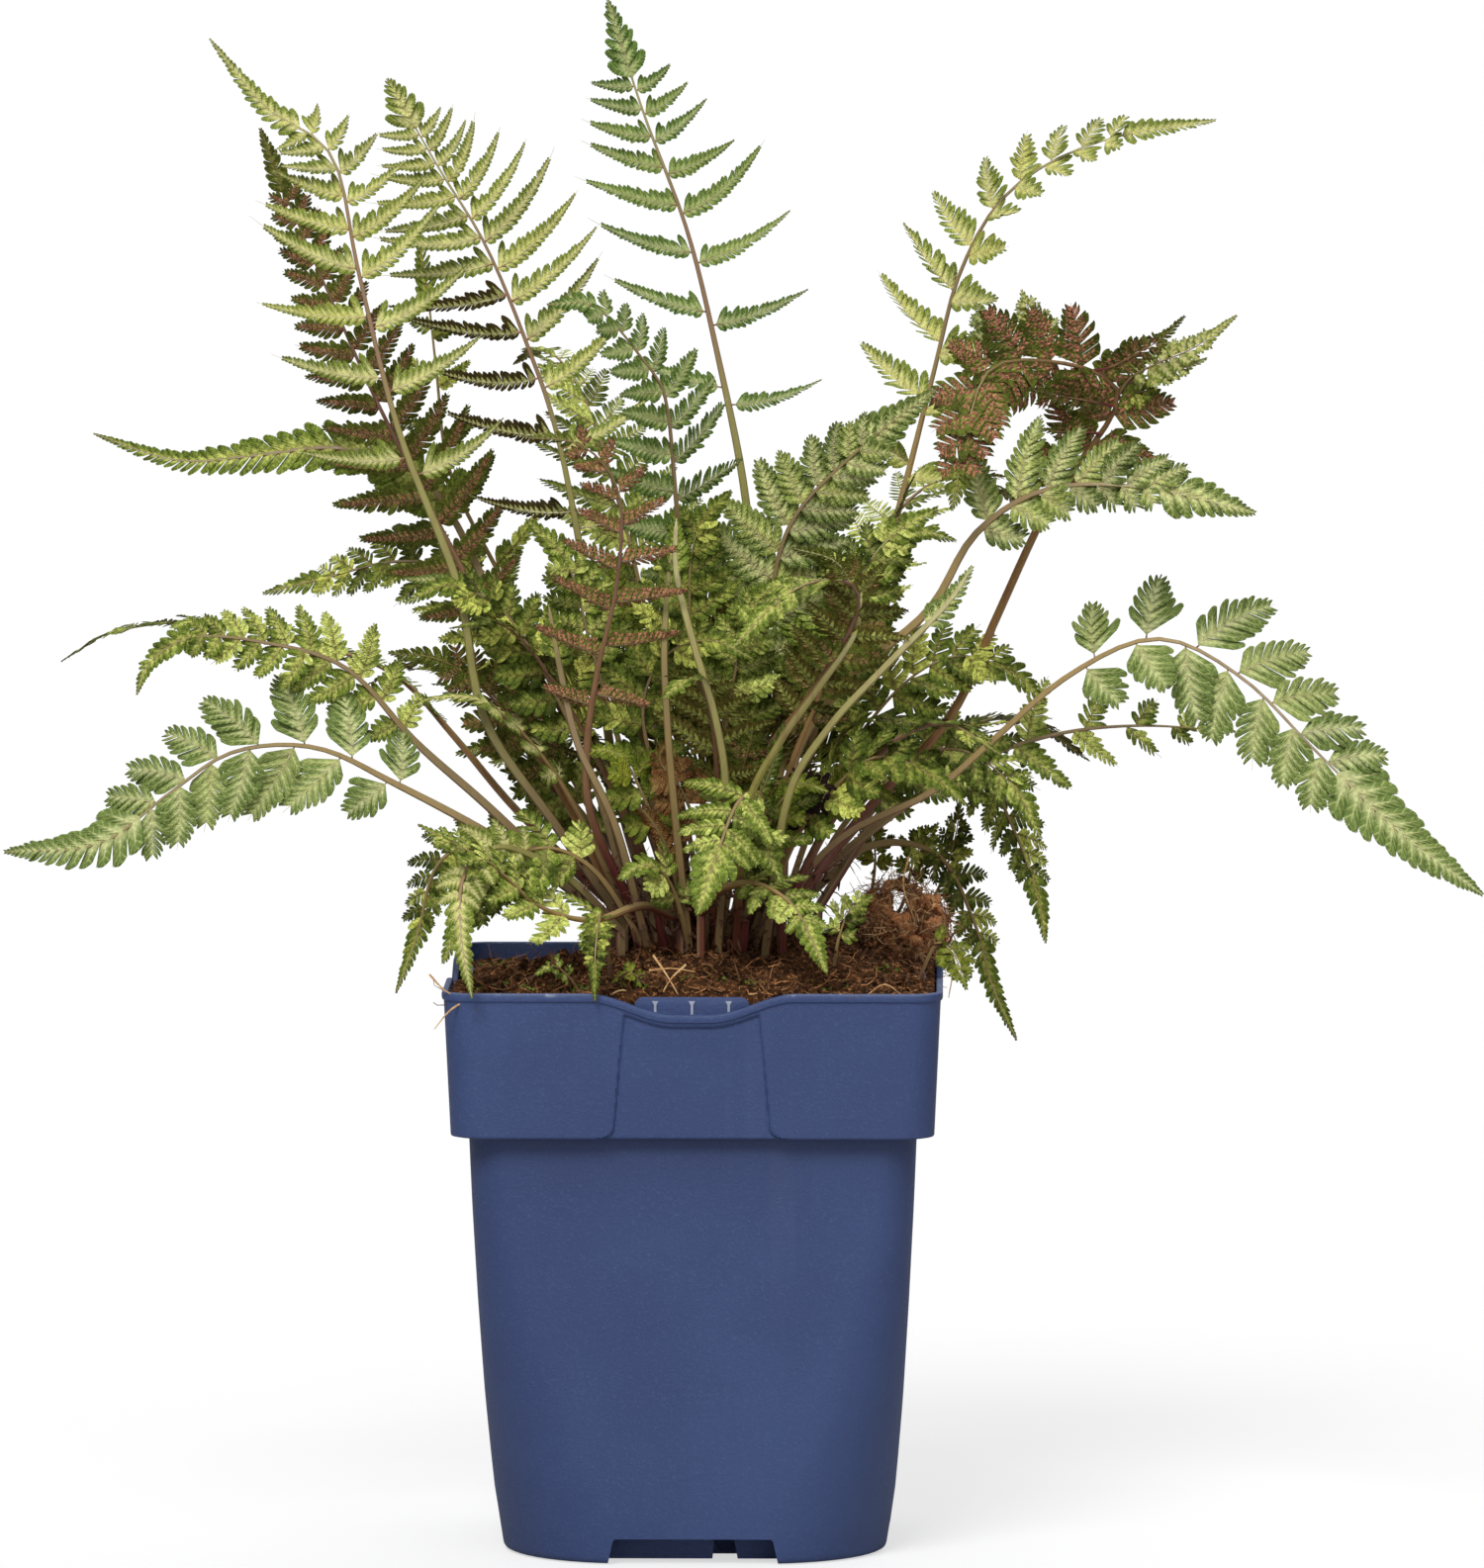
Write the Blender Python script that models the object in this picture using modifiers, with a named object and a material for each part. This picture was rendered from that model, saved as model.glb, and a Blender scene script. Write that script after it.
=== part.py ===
"""A potted lady fern: moulded square pot, soil, rhizome and one solid for each frond."""

import math

import bmesh
import bpy
import numpy as np
from mathutils import Vector
from mathutils.bvhtree import BVHTree

MM = 0.001

# Pot, in mm. The rim is the widest place of a common 17 cm square nursery pot.
POT_HEIGHT = 200.0
RIM_HALF = 86.0
RIM_BEAD = 2.4
BAND_BOTTOM = 149.5
BAND_FOOT_HALF = 83.2
WALL = 2.0
CORNER_STEPS = 4
POT_SECTIONS = (  # height, half width, corner radius
    (0.0, 63.8, 43.0),
    (2.4, 66.0, 43.0),
    (26.0, 67.4, 40.0),
    (26.4, 68.0, 39.5),
    (BAND_BOTTOM, 76.6, 13.5),
    (BAND_BOTTOM + 0.1, 82.6, 12.0),
    (BAND_BOTTOM + 0.6, BAND_FOOT_HALF, 12.0),
    (POT_HEIGHT - RIM_BEAD - 0.6, RIM_HALF - 0.7, 10.5),
    (POT_HEIGHT - RIM_BEAD, RIM_HALF, 11.0),
    (POT_HEIGHT - 0.6, RIM_HALF, 11.0),
    (POT_HEIGHT, RIM_HALF - 0.6, 10.4),
)
FLOOR = 2.4
INSIDE_SECTIONS = (
    (FLOOR, 62.4, 41.0),
    (26.0, 65.5, 38.0),
    (BAND_BOTTOM + 1.6, 74.5, 12.0),
    (BAND_BOTTOM + 2.4, 81.2, 10.0),
    (POT_HEIGHT, 83.7, 8.5),
)
NOTCH_PROFILE = (  # the dip in the middle of each side of the rim: along, height
    (-36.0, 201.0), (-34.8, 200.0), (-28.8, 198.5), (-24.0, 196.4), (-19.9, 195.0),
    (-13.2, 193.6), (0.0, 192.8), (13.2, 193.6), (19.9, 195.0), (24.0, 196.4),
    (28.8, 198.5), (34.8, 200.0), (36.0, 201.0),
)
PANEL_PROFILE = (  # the sunk middle panel of each side of the band
    (-23.4, 192.8), (-24.6, 180.0), (-25.8, 160.0), (-26.7, 154.0), (-28.4, 151.6),
    (-31.0, 150.2), (-31.0, 148.0), (31.0, 148.0), (31.0, 150.2), (28.4, 151.6),
    (26.7, 154.0), (25.8, 160.0), (24.6, 180.0), (23.4, 192.8), (13.0, 190.2),
    (0.0, 189.3), (-13.0, 190.2),
)
PANEL_DEPTH = 1.2
FOOT_GAP_HALF = (29.6, 27.7)  # at the floor and at its top
FOOT_GAP_HEIGHT = 8.8
FOOT_GAP_DEPTH = 13.0
DRAIN_ALONG = 10.5
DRAIN_WIDTH = 6.5
TAB_HALF = 19.8
TAB_FACE = 79.6  # distance of the label tab's outer face from the middle
TAB_THICK = 1.5
TAB_TOP = 198.2
TAB_FOOT = 184.0
TICK_ALONG = (-12.6, 0.0, 12.6)
TICK_SIZE = (0.7, 0.4, 6.5)

# Soil and rhizome, in mm.
SOIL_GAP = 0.3
SOIL_LEVEL = 196.5
SOIL_RINGS = (0.97, 0.86, 0.74, 0.60, 0.45, 0.28)
SOIL_MOUND = ((4.0, 6.0), 13.0, 44.0)  # middle, height, spread
SOIL_CLUMP = ((67.0, 50.0), 24.0, 14.0)
SOIL_DIP = ((-56.0, 54.0), -12.0, 20.0)
CROWN_MIDDLE = (6.0, 4.0, 203.0)
CROWN_HALF = (23.0, 16.0, 9.0)
SUNK = 15.0  # how far a stipe goes down under the top of the soil

# Fronds, in mm.
BLADE_THICK = 0.7
RIB_HALF = 0.85
STIPE_STEPS = 6
STIPE_RADII = (1.5, 1.1)
ROOT_SPACING = 7.4
SPINE_SPACING = 4.6
CLEARANCE = 0.3
LIFTS = (0, 18, -18, 34, -34, 50, -50, 66, -66)
TO_CAMERA = (0, -1, 0.3)
FROM_CAMERA = (0, 1, 0.15)

# name: (points from the root, upper side or None, blade start, tip piece,
#        pinna length, pinna width, pairs, points of a pinna, look)
FRONDS = {
    "tall_left": (
        ((-25, -8, 216), (-49, -16, 252), (-73, -22, 289), (-82, -27, 336), (-102, -31, 389),
         (-116, -31, 445), (-125, -30, 485), (-147, -28, 500), (-167, -25, 524)),
        TO_CAMERA, 0.50, 0.10, 37, 11, 8, 9, "pale"),
    "left_fertile": (
        ((-19, 8, 216), (-40, 16, 243), (-61, 24, 281), (-73, 30, 317), (-95, 36, 360),
         (-114, 38, 398), (-129, 38, 432), (-144, 36, 467), (-153, 34, 491)),
        FROM_CAMERA, 0.44, 0.12, 31, 11, 7, 7, "fertile"),
    "second_tall": (
        ((-15, 16, 216), (-28, 20, 260), (-36, 23, 315), (-48, 21, 381), (-60, 19, 418),
         (-74, 15, 452), (-89, 11, 477), (-107, 5, 509)),
        TO_CAMERA, 0.46, 0.12, 38, 11, 8, 9, "pale"),
    "centre_tall": (
        ((1, 24, 217), (10, 34, 272), (18, 39, 328), (16, 40, 365), (6, 39, 415),
         (-4, 35, 456), (-19, 28, 497), (-31, 20, 536)),
        TO_CAMERA, 0.50, 0.15, 33, 11, 8, 9, "pale"),
    "arched_mid": (
        ((3, 5, 217), (8, 8, 268), (0, 4, 318), (-6, -5, 355), (-10, -20, 399),
         (-18, -28, 414), (-34, -40, 433), (-50, -50, 434)),
        None, 0.48, 0.16, 28, 11, 5, 6, "green"),
    "right_top": (
        ((14, 30, 217), (33, 35, 258), (54, 37, 303), (69, 37, 353), (82, 34, 404),
         (92, 30, 442), (109, 25, 470), (139, 19, 487), (180, 10, 495)),
        (-0.4, -1, 0.5), 0.50, 0.20, 26, 11, 7, 7, "green"),
    "right_curl": (
        ((34, 12, 221), (56, 15, 250), (88, 14, 286), (105, 10, 323), (123, 3, 362),
         (146, -8, 397), (136, -14, 410), (105, -25, 413), (96, -33, 398), (89, -50, 364)),
        FROM_CAMERA, 0.52, 0.12, 32, 12, 6, 7, "fertile"),
    "right_light": (
        ((29, -4, 220), (34, -11, 273), (54, -17, 303), (81, -24, 327), (97, -30, 354),
         (122, -37, 370), (156, -45, 371), (193, -55, 363)),
        TO_CAMERA, 0.48, 0.18, 24, 11, 6, 7, "silver"),
    "right_big": (
        ((24, 0, 218), (51, 0, 246), (81, -2, 261), (102, -5, 279), (129, -11, 303),
         (160, -18, 317), (189, -26, 304), (215, -38, 279), (243, -54, 253), (271, -70, 233)),
        TO_CAMERA, 0.40, 0.26, 28, 15, 6, 7, "pale"),
    "right_low": (
        ((30, 16, 221), (61, 22, 246), (92, 28, 267), (123, 36, 278), (154, 44, 281),
         (189, 55, 278)),
        None, 0.40, 0.20, 24, 12, 5, 6, "green"),
    "right_drop": (
        ((33, 30, 219), (57, 41, 247), (81, 45, 270), (97, 45, 270), (111, 42, 244),
         (119, 36, 222), (122, 30, 206)),
        (0.5, -1, 0.3), 0.42, 0.18, 18, 10, 4, 6, "dark"),
    "right_rim": (
        ((38, 38, 221), (60, 58, 237), (84, 68, 233), (97, 68, 209), (103, 62, 188),
         (112, 50, 169)),
        None, 0.38, 0.20, 14, 9, 4, 6, "green"),
    "left_low": (
        ((-30, -14, 219), (-67, -22, 246), (-104, -29, 267), (-131, -35, 280),
         (-159, -41, 279), (-181, -46, 265), (-205, -53, 248), (-237, -60, 246)),
        TO_CAMERA, 0.34, 0.24, 26, 14, 7, 7, "pale"),
    "left_mid": (
        ((-27, 4, 220), (-62, 4, 254), (-84, 4, 280), (-105, 5, 302), (-132, 6, 312),
         (-166, 7, 320), (-202, 9, 317), (-222, 10, 306)),
        None, 0.40, 0.20, 26, 12, 6, 7, "green"),
    "left_mid_low": (
        ((-34, -4, 219), (-70, -9, 255), (-97, -16, 280), (-121, -26, 307),
         (-151, -37, 317), (-174, -47, 319), (-187, -55, 311), (-191, -60, 301)),
        TO_CAMERA, 0.46, 0.16, 18, 11, 5, 6, "green"),
    "left_needle": (
        ((-23, 22, 220), (-50, 28, 252), (-64, 34, 293), (-75, 40, 331), (-96, 45, 367),
         (-126, 50, 378), (-157, 54, 375), (-184, 58, 373), (-213, 62, 382)),
        None, 0.54, 0.24, 16, 10, 6, 6, "silver"),
    "back_left": (
        ((-11, 34, 217), (-41, 49, 278), (-69, 60, 330), (-88, 66, 368), (-93, 70, 404),
         (-96, 73, 430), (-100, 75, 456)),
        None, 0.42, 0.16, 30, 12, 5, 6, "dark"),
    "centre_fertile": (
        ((-20, -16, 218), (-35, -34, 254), (-37, -43, 279), (-33, -53, 308),
         (-26, -62, 339), (-25, -69, 370), (-37, -73, 387), (-56, -75, 390)),
        FROM_CAMERA, 0.44, 0.16, 27, 11, 6, 7, "fertile"),
    "front_drop": (
        ((14, -6, 218), (23, -30, 247), (23, -43, 265), (15, -49, 262), (7, -67, 242),
         (2, -80, 227)),
        (0, -1, 0.6), 0.36, 0.2, 17, 10, 4, 6, "pale"),
    "front_left": (
        ((-4, -22, 219), (-18, -33, 225), (-35, -44, 221), (-53, -55, 227),
         (-70, -66, 243), (-94, -75, 257)),
        (0, -0.8, 1), 0.34, 0.2, 15, 9, 4, 6, "green"),
    "front_right": (
        ((1, -24, 221), (9, -36, 231), (22, -47, 234), (34, -59, 228), (41, -70, 217),
         (46, -80, 207)),
        (0, -0.8, 1), 0.36, 0.2, 14, 9, 4, 6, "green"),
    "rim_left": (
        ((-30, 12, 221), (-50, 10, 238), (-71, 7, 246), (-90, 1, 236), (-97, -6, 212),
         (-104, -15, 193)),
        (-0.6, -1, 0.3), 0.40, 0.2, 12, 8, 4, 6, "dark"),
    "rim_light": (
        ((-26, -18, 215), (-45, -37, 236), (-66, -58, 248), (-78, -74, 240),
         (-79, -88, 222), (-75, -95, 200)),
        (0, -1, 0.3), 0.42, 0.2, 12, 8, 4, 6, "pale"),
    "centre_right": (
        ((19, -2, 220), (25, -28, 275), (38, -40, 296), (55, -57, 325), (55, -64, 339),
         (40, -71, 340), (27, -80, 332), (14, -90, 319)),
        None, 0.44, 0.2, 22, 11, 4, 6, "green"),
    "silver_mid": (
        ((14, 8, 219), (20, 5, 275), (25, -3, 324), (33, -10, 356), (54, -20, 380),
         (83, -35, 404)),
        (0.2, -1, 0.4), 0.44, 0.2, 26, 12, 6, 7, "silver"),
    "back_dark": (
        ((-18, 28, 219), (-47, 36, 269), (-68, 42, 310), (-86, 47, 334), (-107, 51, 338),
         (-131, 56, 332), (-154, 60, 326)),
        None, 0.46, 0.2, 22, 11, 4, 6, "dark"),
    "back_high": (
        ((-3, 42, 217), (-12, 62, 280), (-26, 84, 345), (-42, 108, 392), (-56, 130, 408),
         (-68, 148, 402)),
        None, 0.42, 0.2, 34, 13, 5, 6, "green"),
    "back_right": (
        ((22, 46, 217), (34, 62, 270), (52, 84, 325), (76, 108, 358), (98, 128, 362),
         (118, 144, 348)),
        None, 0.42, 0.2, 32, 13, 5, 6, "green"),
    "back_low": (
        ((8, 50, 216), (10, 76, 252), (12, 106, 282), (12, 134, 290), (10, 158, 280)),
        None, 0.36, 0.2, 26, 13, 4, 6, "dark"),
    "back_corner": (
        ((-26, 44, 216), (-48, 66, 256), (-74, 90, 288), (-98, 112, 298), (-120, 130, 288)),
        None, 0.36, 0.2, 26, 13, 4, 6, "green"),
    "back_side": (
        ((42, 26, 218), (66, 52, 252), (92, 76, 276), (116, 98, 278), (138, 116, 262)),
        None, 0.36, 0.2, 25, 13, 4, 6, "dark"),
    "mid_left": (
        ((-12, -4, 219), (-28, -12, 262), (-48, -20, 300), (-66, -30, 322), (-84, -42, 322)),
        None, 0.42, 0.2, 26, 12, 4, 6, "dark"),
    "mid_front": (
        ((6, -14, 219), (8, -24, 256), (6, -38, 290), (0, -54, 306), (-10, -70, 300)),
        None, 0.42, 0.2, 24, 12, 4, 6, "green"),
    "mid_right": (
        ((30, -16, 219), (46, -26, 252), (66, -38, 280), (86, -50, 290), (106, -62, 280)),
        None, 0.40, 0.2, 24, 12, 4, 6, "dark"),
    "mid_high": (
        ((13, 19, 218), (30, 27, 270), (47, 26, 316), (64, 18, 346), (76, 8, 372)),
        None, 0.44, 0.2, 26, 12, 4, 6, "green"),
}

LOOKS = {
    "pot_plastic": ((0.064, 0.094, 0.182), 0.45),
    "peat": ((0.05, 0.025, 0.014), 0.95),
    "rhizome_chaff": ((0.06, 0.025, 0.014), 0.9),
    "pale_leaf": ((0.32, 0.38, 0.15), 0.6),
    "green_leaf": ((0.16, 0.2, 0.06), 0.6),
    "silver_leaf": ((0.38, 0.43, 0.25), 0.6),
    "dark_leaf": ((0.1, 0.13, 0.04), 0.6),
    "fertile_leaf": ((0.17, 0.1, 0.04), 0.7),
}


def clear_scene():
    for old in list(bpy.data.objects):
        bpy.data.objects.remove(old, do_unlink=True)


def material(look):
    found = bpy.data.materials.get(look)
    if found:
        return found
    made = bpy.data.materials.new(look)
    made.use_nodes = True
    shader = made.node_tree.nodes["Principled BSDF"]
    color, roughness = LOOKS[look]
    shader.inputs["Base Color"].default_value = (*color, 1.0)
    shader.inputs["Roughness"].default_value = roughness
    made.diffuse_color = (*color, 1.0)
    return made


def add_object(name, bm, look=None):
    """Makes an object of a mesh in mm."""
    bmesh.ops.scale(bm, vec=(MM, MM, MM), verts=bm.verts)
    bmesh.ops.recalc_face_normals(bm, faces=bm.faces)
    mesh = bpy.data.meshes.new(name)
    bm.to_mesh(mesh)
    bm.free()
    made = bpy.data.objects.new(name, mesh)
    bpy.context.scene.collection.objects.link(made)
    if look:
        mesh.materials.append(material(look))
    return made


def evaluate(target):
    """Replaces a mesh by what its modifiers make of it."""
    graph = bpy.context.evaluated_depsgraph_get()
    mesh = bpy.data.meshes.new_from_object(target.evaluated_get(graph))
    target.modifiers.clear()
    target.data = mesh
    return target


def join(target, others, operation, solver="EXACT"):
    """One Boolean of a solid with a collection of others, which are then removed."""
    group = bpy.data.collections.new(target.name + "_tools")
    bpy.context.scene.collection.children.link(group)
    for other in others:
        for home in list(other.users_collection):
            home.objects.unlink(other)
        group.objects.link(other)
        other.display_type = "WIRE"
    step = target.modifiers.new(operation.lower(), "BOOLEAN")
    step.operation = operation
    step.operand_type = "COLLECTION"
    step.collection = group
    step.solver = solver
    evaluate(target)
    for other in others:
        bpy.data.objects.remove(other, do_unlink=True)
    bpy.data.collections.remove(group)
    return target


def tidy(target):
    """Welds and dissolves the slivers that a Boolean leaves, as far as the skin stays whole."""
    for thin in (0.00001, 0.000004, 0.000001):
        bm = bmesh.new()
        bm.from_mesh(target.data)
        bmesh.ops.remove_doubles(bm, verts=bm.verts, dist=thin)
        bmesh.ops.dissolve_degenerate(bm, edges=bm.edges, dist=thin)
        bmesh.ops.triangulate(bm, faces=bm.faces)
        whole = all(edge.is_manifold for edge in bm.edges)
        if whole:
            bm.to_mesh(target.data)
        bm.free()
        if whole:
            return


def square_ring(half, radius, z, steps=CORNER_STEPS, sides=0):
    """Points of a square with round corners, counter-clockwise from above."""
    points = []
    inner = half - radius
    for turn in range(4):
        start = math.radians(90 * turn)
        for step in range(steps + 1):
            angle = start + math.radians(90) * step / steps
            middle = start + math.radians(45)
            cx = math.copysign(inner, math.cos(middle))
            cy = math.copysign(inner, math.sin(middle))
            points.append((cx + radius * math.cos(angle), cy + radius * math.sin(angle), z))
        last = Vector(points[-1])
        nxt_start = start + math.radians(90)
        nx = math.copysign(inner, math.cos(nxt_start + math.radians(45)))
        ny = math.copysign(inner, math.sin(nxt_start + math.radians(45)))
        first = Vector((nx + radius * math.cos(nxt_start), ny + radius * math.sin(nxt_start), z))
        for side in range(1, sides + 1):
            points.append(tuple(last.lerp(first, side / (sides + 1))))
    return points


def loft(rings, close_top=True):
    """A closed skin through rings with the same number of points."""
    bm = bmesh.new()
    loops = []
    for ring in rings:
        verts = [bm.verts.new(point) for point in ring]
        edges = [bm.edges.new((a, b)) for a, b in zip(verts, verts[1:] + verts[:1])]
        loops.append((verts, edges))
    for (_, low), (_, high) in zip(loops, loops[1:]):
        bmesh.ops.bridge_loops(bm, edges=low + high)
    bmesh.ops.contextual_create(bm, geom=loops[0][0])
    if close_top:
        bmesh.ops.contextual_create(bm, geom=loops[-1][0])
    bmesh.ops.recalc_face_normals(bm, faces=bm.faces)
    return bm


def box(x0, x1, y0, y1, z0, z1):
    bm = bmesh.new()
    bmesh.ops.create_cube(bm, size=1.0)
    bmesh.ops.scale(bm, vec=(x1 - x0, y1 - y0, z1 - z0), verts=bm.verts)
    middle = ((x0 + x1) / 2, (y0 + y1) / 2, (z0 + z1) / 2)
    bmesh.ops.translate(bm, vec=middle, verts=bm.verts)
    return bm


def prism(profile, y0, y1):
    """A profile of (along, height) pushed out from y0 to y1."""
    bm = bmesh.new()
    face = bm.faces.new([bm.verts.new((x, y0, z)) for x, z in profile])
    pushed = bmesh.ops.extrude_face_region(bm, geom=[face])["geom"]
    moved = [item for item in pushed if isinstance(item, bmesh.types.BMVert)]
    bmesh.ops.translate(bm, vec=(0, y1 - y0, 0), verts=moved)
    bmesh.ops.recalc_face_normals(bm, faces=bm.faces)
    return bm


def on_four_sides(make):
    """The same shape on the front, right, back and left."""
    made = []
    for turn in range(4):
        bm = make()
        matrix = np.array(
            [[math.cos(turn * math.pi / 2), -math.sin(turn * math.pi / 2), 0],
             [math.sin(turn * math.pi / 2), math.cos(turn * math.pi / 2), 0],
             [0, 0, 1]])
        for vert in bm.verts:
            vert.co = matrix @ np.array(vert.co)
        made.append(add_object(f"tool_{turn}", bm))
    return made


def foot_gap(margin):
    """The gap in the foot of the pot, or with a margin the room it takes inside."""
    low, high = (half + margin for half in FOOT_GAP_HALF)
    top = FOOT_GAP_HEIGHT + margin
    y_in = -(66.5 - FOOT_GAP_DEPTH - margin)
    return prism(((-low, -1), (low, -1), (high, top), (-high, top)), -90, y_in)


def make_pot():
    outside = loft([square_ring(half, radius, z) for z, half, radius in POT_SECTIONS])
    pot = add_object("pot", outside, "pot_plastic")
    rings = [square_ring(half, radius, z) for z, half, radius in INSIDE_SECTIONS]
    top = INSIDE_SECTIONS[-1]
    rings.append(square_ring(top[1] + 0.2, top[2], POT_HEIGHT + 5))
    hollow = add_object("hollow", loft(rings))
    join(hollow, on_four_sides(lambda: foot_gap(WALL)), "DIFFERENCE")
    cuts = [hollow]
    cuts += on_four_sides(lambda: foot_gap(0))
    cuts += on_four_sides(lambda: prism(NOTCH_PROFILE, -90, -81.3))
    cuts += on_four_sides(make_drain)
    join(pot, cuts, "DIFFERENCE")
    # The sunk panel leans with the band, so its cutter leans too.
    join(pot, on_four_sides(make_panel), "DIFFERENCE")
    join(pot, on_four_sides(make_tab) + on_four_sides(make_shelf), "UNION")
    tidy(pot)
    return pot


def make_drain():
    left, right = DRAIN_ALONG - DRAIN_WIDTH / 2, DRAIN_ALONG + DRAIN_WIDTH / 2
    profile = ((left - 0.6, 3.0), (right + 0.6, 3.0), (right, 8.0), (left, 8.0))
    y_face = -(66.5 - FOOT_GAP_DEPTH)
    return prism(profile, y_face - 3, y_face + 6)


def band_face(z):
    """Half width of the band at a height."""
    low, high = BAND_BOTTOM + 0.6, POT_HEIGHT - RIM_BEAD - 0.6
    share = (z - low) / (high - low)
    return BAND_FOOT_HALF + share * (RIM_HALF - 0.7 - BAND_FOOT_HALF)


def make_panel():
    bm = prism(PANEL_PROFILE, -90, -70)
    for vert in bm.verts:
        if vert.co.y > -80:
            vert.co.y = -(band_face(vert.co.z) - PANEL_DEPTH)
    return bm


def make_tab():
    half = TAB_HALF
    profile = (
        (-half, TAB_FOOT), (half, TAB_FOOT), (half, TAB_TOP - 2.5), (half - 0.8, TAB_TOP - 0.8),
        (half - 2.5, TAB_TOP), (2.5 - half, TAB_TOP), (0.8 - half, TAB_TOP - 0.8),
        (-half, TAB_TOP - 2.5))
    return prism(profile, -TAB_FACE, -TAB_FACE + TAB_THICK)


def make_shelf():
    """The floor of the label slot, from the tab to the wall."""
    return box(-TAB_HALF + 0.4, TAB_HALF - 0.4, -84.4, -TAB_FACE + 0.6, TAB_FOOT + 0.4, 188.0)


def tab_room():
    edge = TAB_HALF + SOIL_GAP
    face = -TAB_FACE + TAB_THICK + SOIL_GAP
    return box(-edge, edge, -90, face, TAB_FOOT - SOIL_GAP, 230)


def soil_height(x, y):
    height = SOIL_LEVEL
    for (cx, cy), rise, spread in (SOIL_MOUND, SOIL_CLUMP, SOIL_DIP):
        height += rise * math.exp(-((x - cx) ** 2 + (y - cy) ** 2) / (2 * spread ** 2))
    height += 0.9 * math.sin(x * 0.31 + 1.2) * math.cos(y * 0.27)
    height += 0.6 * math.sin(x * 0.13 - y * 0.41) + 0.5 * math.cos(x * 0.53 + y * 0.19)
    return height


def make_soil():
    rings = []
    for z, half, radius in INSIDE_SECTIONS[:-1]:
        rings.append(square_ring(half - SOIL_GAP, radius - SOIL_GAP, z + SOIL_GAP, 2, 2))
    wall = INSIDE_SECTIONS[-1][1] - SOIL_GAP - 0.3
    radius = INSIDE_SECTIONS[-1][2] - SOIL_GAP
    edge = square_ring(wall, radius, 0, 2, 2)
    rings.append([(x, y, min(soil_height(x, y), 199.0) - 1.5) for x, y, _ in edge])
    for share in SOIL_RINGS:
        soft = radius + (1 - share) * 40
        ring = square_ring(wall * share, min(soft, wall * share * 0.95), 0, 2, 2)
        rings.append([(x, y, soil_height(x, y)) for x, y, _ in ring])
    bm = loft(rings, close_top=False)
    tip = bm.verts.new((0, 0, soil_height(0, 0)))
    bm.verts.ensure_lookup_table()
    count = len(rings[-1])
    last = list(bm.verts)[-1 - count:-1]
    for a, b in zip(last, last[1:] + last[:1]):
        bm.faces.new((a, b, tip))
    bmesh.ops.triangulate(bm, faces=bm.faces)
    return add_object("soil", bm, "peat")


def crown_shape(grow):
    """The rhizome crown: a lumpy mass, or grown a little for its bed in the soil."""
    bm = bmesh.new()
    bmesh.ops.create_icosphere(bm, subdivisions=2, radius=1.0)
    for vert in bm.verts:
        x, y, z = vert.co
        lump = 1 + 0.09 * math.sin(5 * x + 2) * math.cos(4 * y) + 0.07 * math.sin(7 * z + 3 * x)
        scale = [half * lump + grow for half in CROWN_HALF]
        vert.co = [c * s + m for c, s, m in zip((x, y, z), scale, CROWN_MIDDLE)]
    return bm


def smooth_line(points, samples):
    """Even points along a Catmull-Rom curve through the given points."""
    ends = [2 * points[0] - points[1]] + list(points) + [2 * points[-1] - points[-2]]
    fine = []
    for a, b, c, d in zip(ends, ends[1:], ends[2:], ends[3:]):
        for step in range(12):
            t = step / 12
            fine.append(0.5 * (2 * b + (c - a) * t + (2 * a - 5 * b + 4 * c - d) * t ** 2
                               + (3 * b - a - 3 * c + d) * t ** 3))
    fine.append(points[-1])
    fine = np.array(fine)
    run = np.concatenate([[0], np.cumsum(np.linalg.norm(np.diff(fine, axis=0), axis=1))])
    even = np.linspace(0, run[-1], samples)
    return np.stack([np.interp(even, run, fine[:, axis]) for axis in range(3)], axis=1)


def spread_roots(lines):
    """Moves roots apart over the ground until their stipes have room."""
    roots = np.array([line[0][:2] for line in lines])
    for _ in range(200):
        gap = roots[:, None] - roots[None]
        far = np.linalg.norm(gap, axis=2) + np.eye(len(roots)) * 99
        push = np.where(far < ROOT_SPACING, (ROOT_SPACING - far) * 0.25, 0)
        roots += (gap / far[..., None] * push[..., None]).sum(axis=1)
    for line, root in zip(lines, roots):
        line[0][:2] = root


def spread_spines(spines):
    """Moves spines apart from front to back where they'd pass through each other."""
    count, samples, _ = spines.shape
    owner = np.repeat(np.arange(count), samples)
    ramp = np.clip(np.linspace(0, 1, samples) * 24, 0, 1)
    other = owner[:, None] != owner[None]
    for _ in range(70):
        flat = spines.reshape(-1, 3)
        gap = flat[:, None] - flat[None]
        far = np.linalg.norm(gap, axis=2)
        near = (far < SPINE_SPACING) & other
        for axis, ease in ((0, 0.3), (1, 1.0)):
            way = np.where(gap[..., axis] >= 0, ease, -ease)
            push = np.where(near, (SPINE_SPACING - far) * 0.5 * way, 0).sum(axis=1)
            push = push.reshape(count, samples)
            soft = (np.roll(push, 1, 1) + 2 * push + np.roll(push, -1, 1)) / 3
            spines[..., axis] += np.clip(soft, -1.2, 1.2) * ramp
    return spines


def frames(spine, upper):
    """Along, upper side and side vectors at every point of a spine."""
    along = np.gradient(spine, axis=0)
    along /= np.linalg.norm(along, axis=1)[:, None]
    if upper is None:
        heading = spine[-1] - spine[0]
        heading[2] = 0
        heading /= np.linalg.norm(heading)
        out = along @ heading
        face = np.outer(-along[:, 2], heading)
        face[:, 2] = np.maximum(out, 0.15)
    else:
        face = np.tile(np.array(upper, float), (len(spine), 1))
    face -= along * (face * along).sum(axis=1)[:, None]
    face /= np.linalg.norm(face, axis=1)[:, None]
    return along, face, np.cross(along, face)


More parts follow.
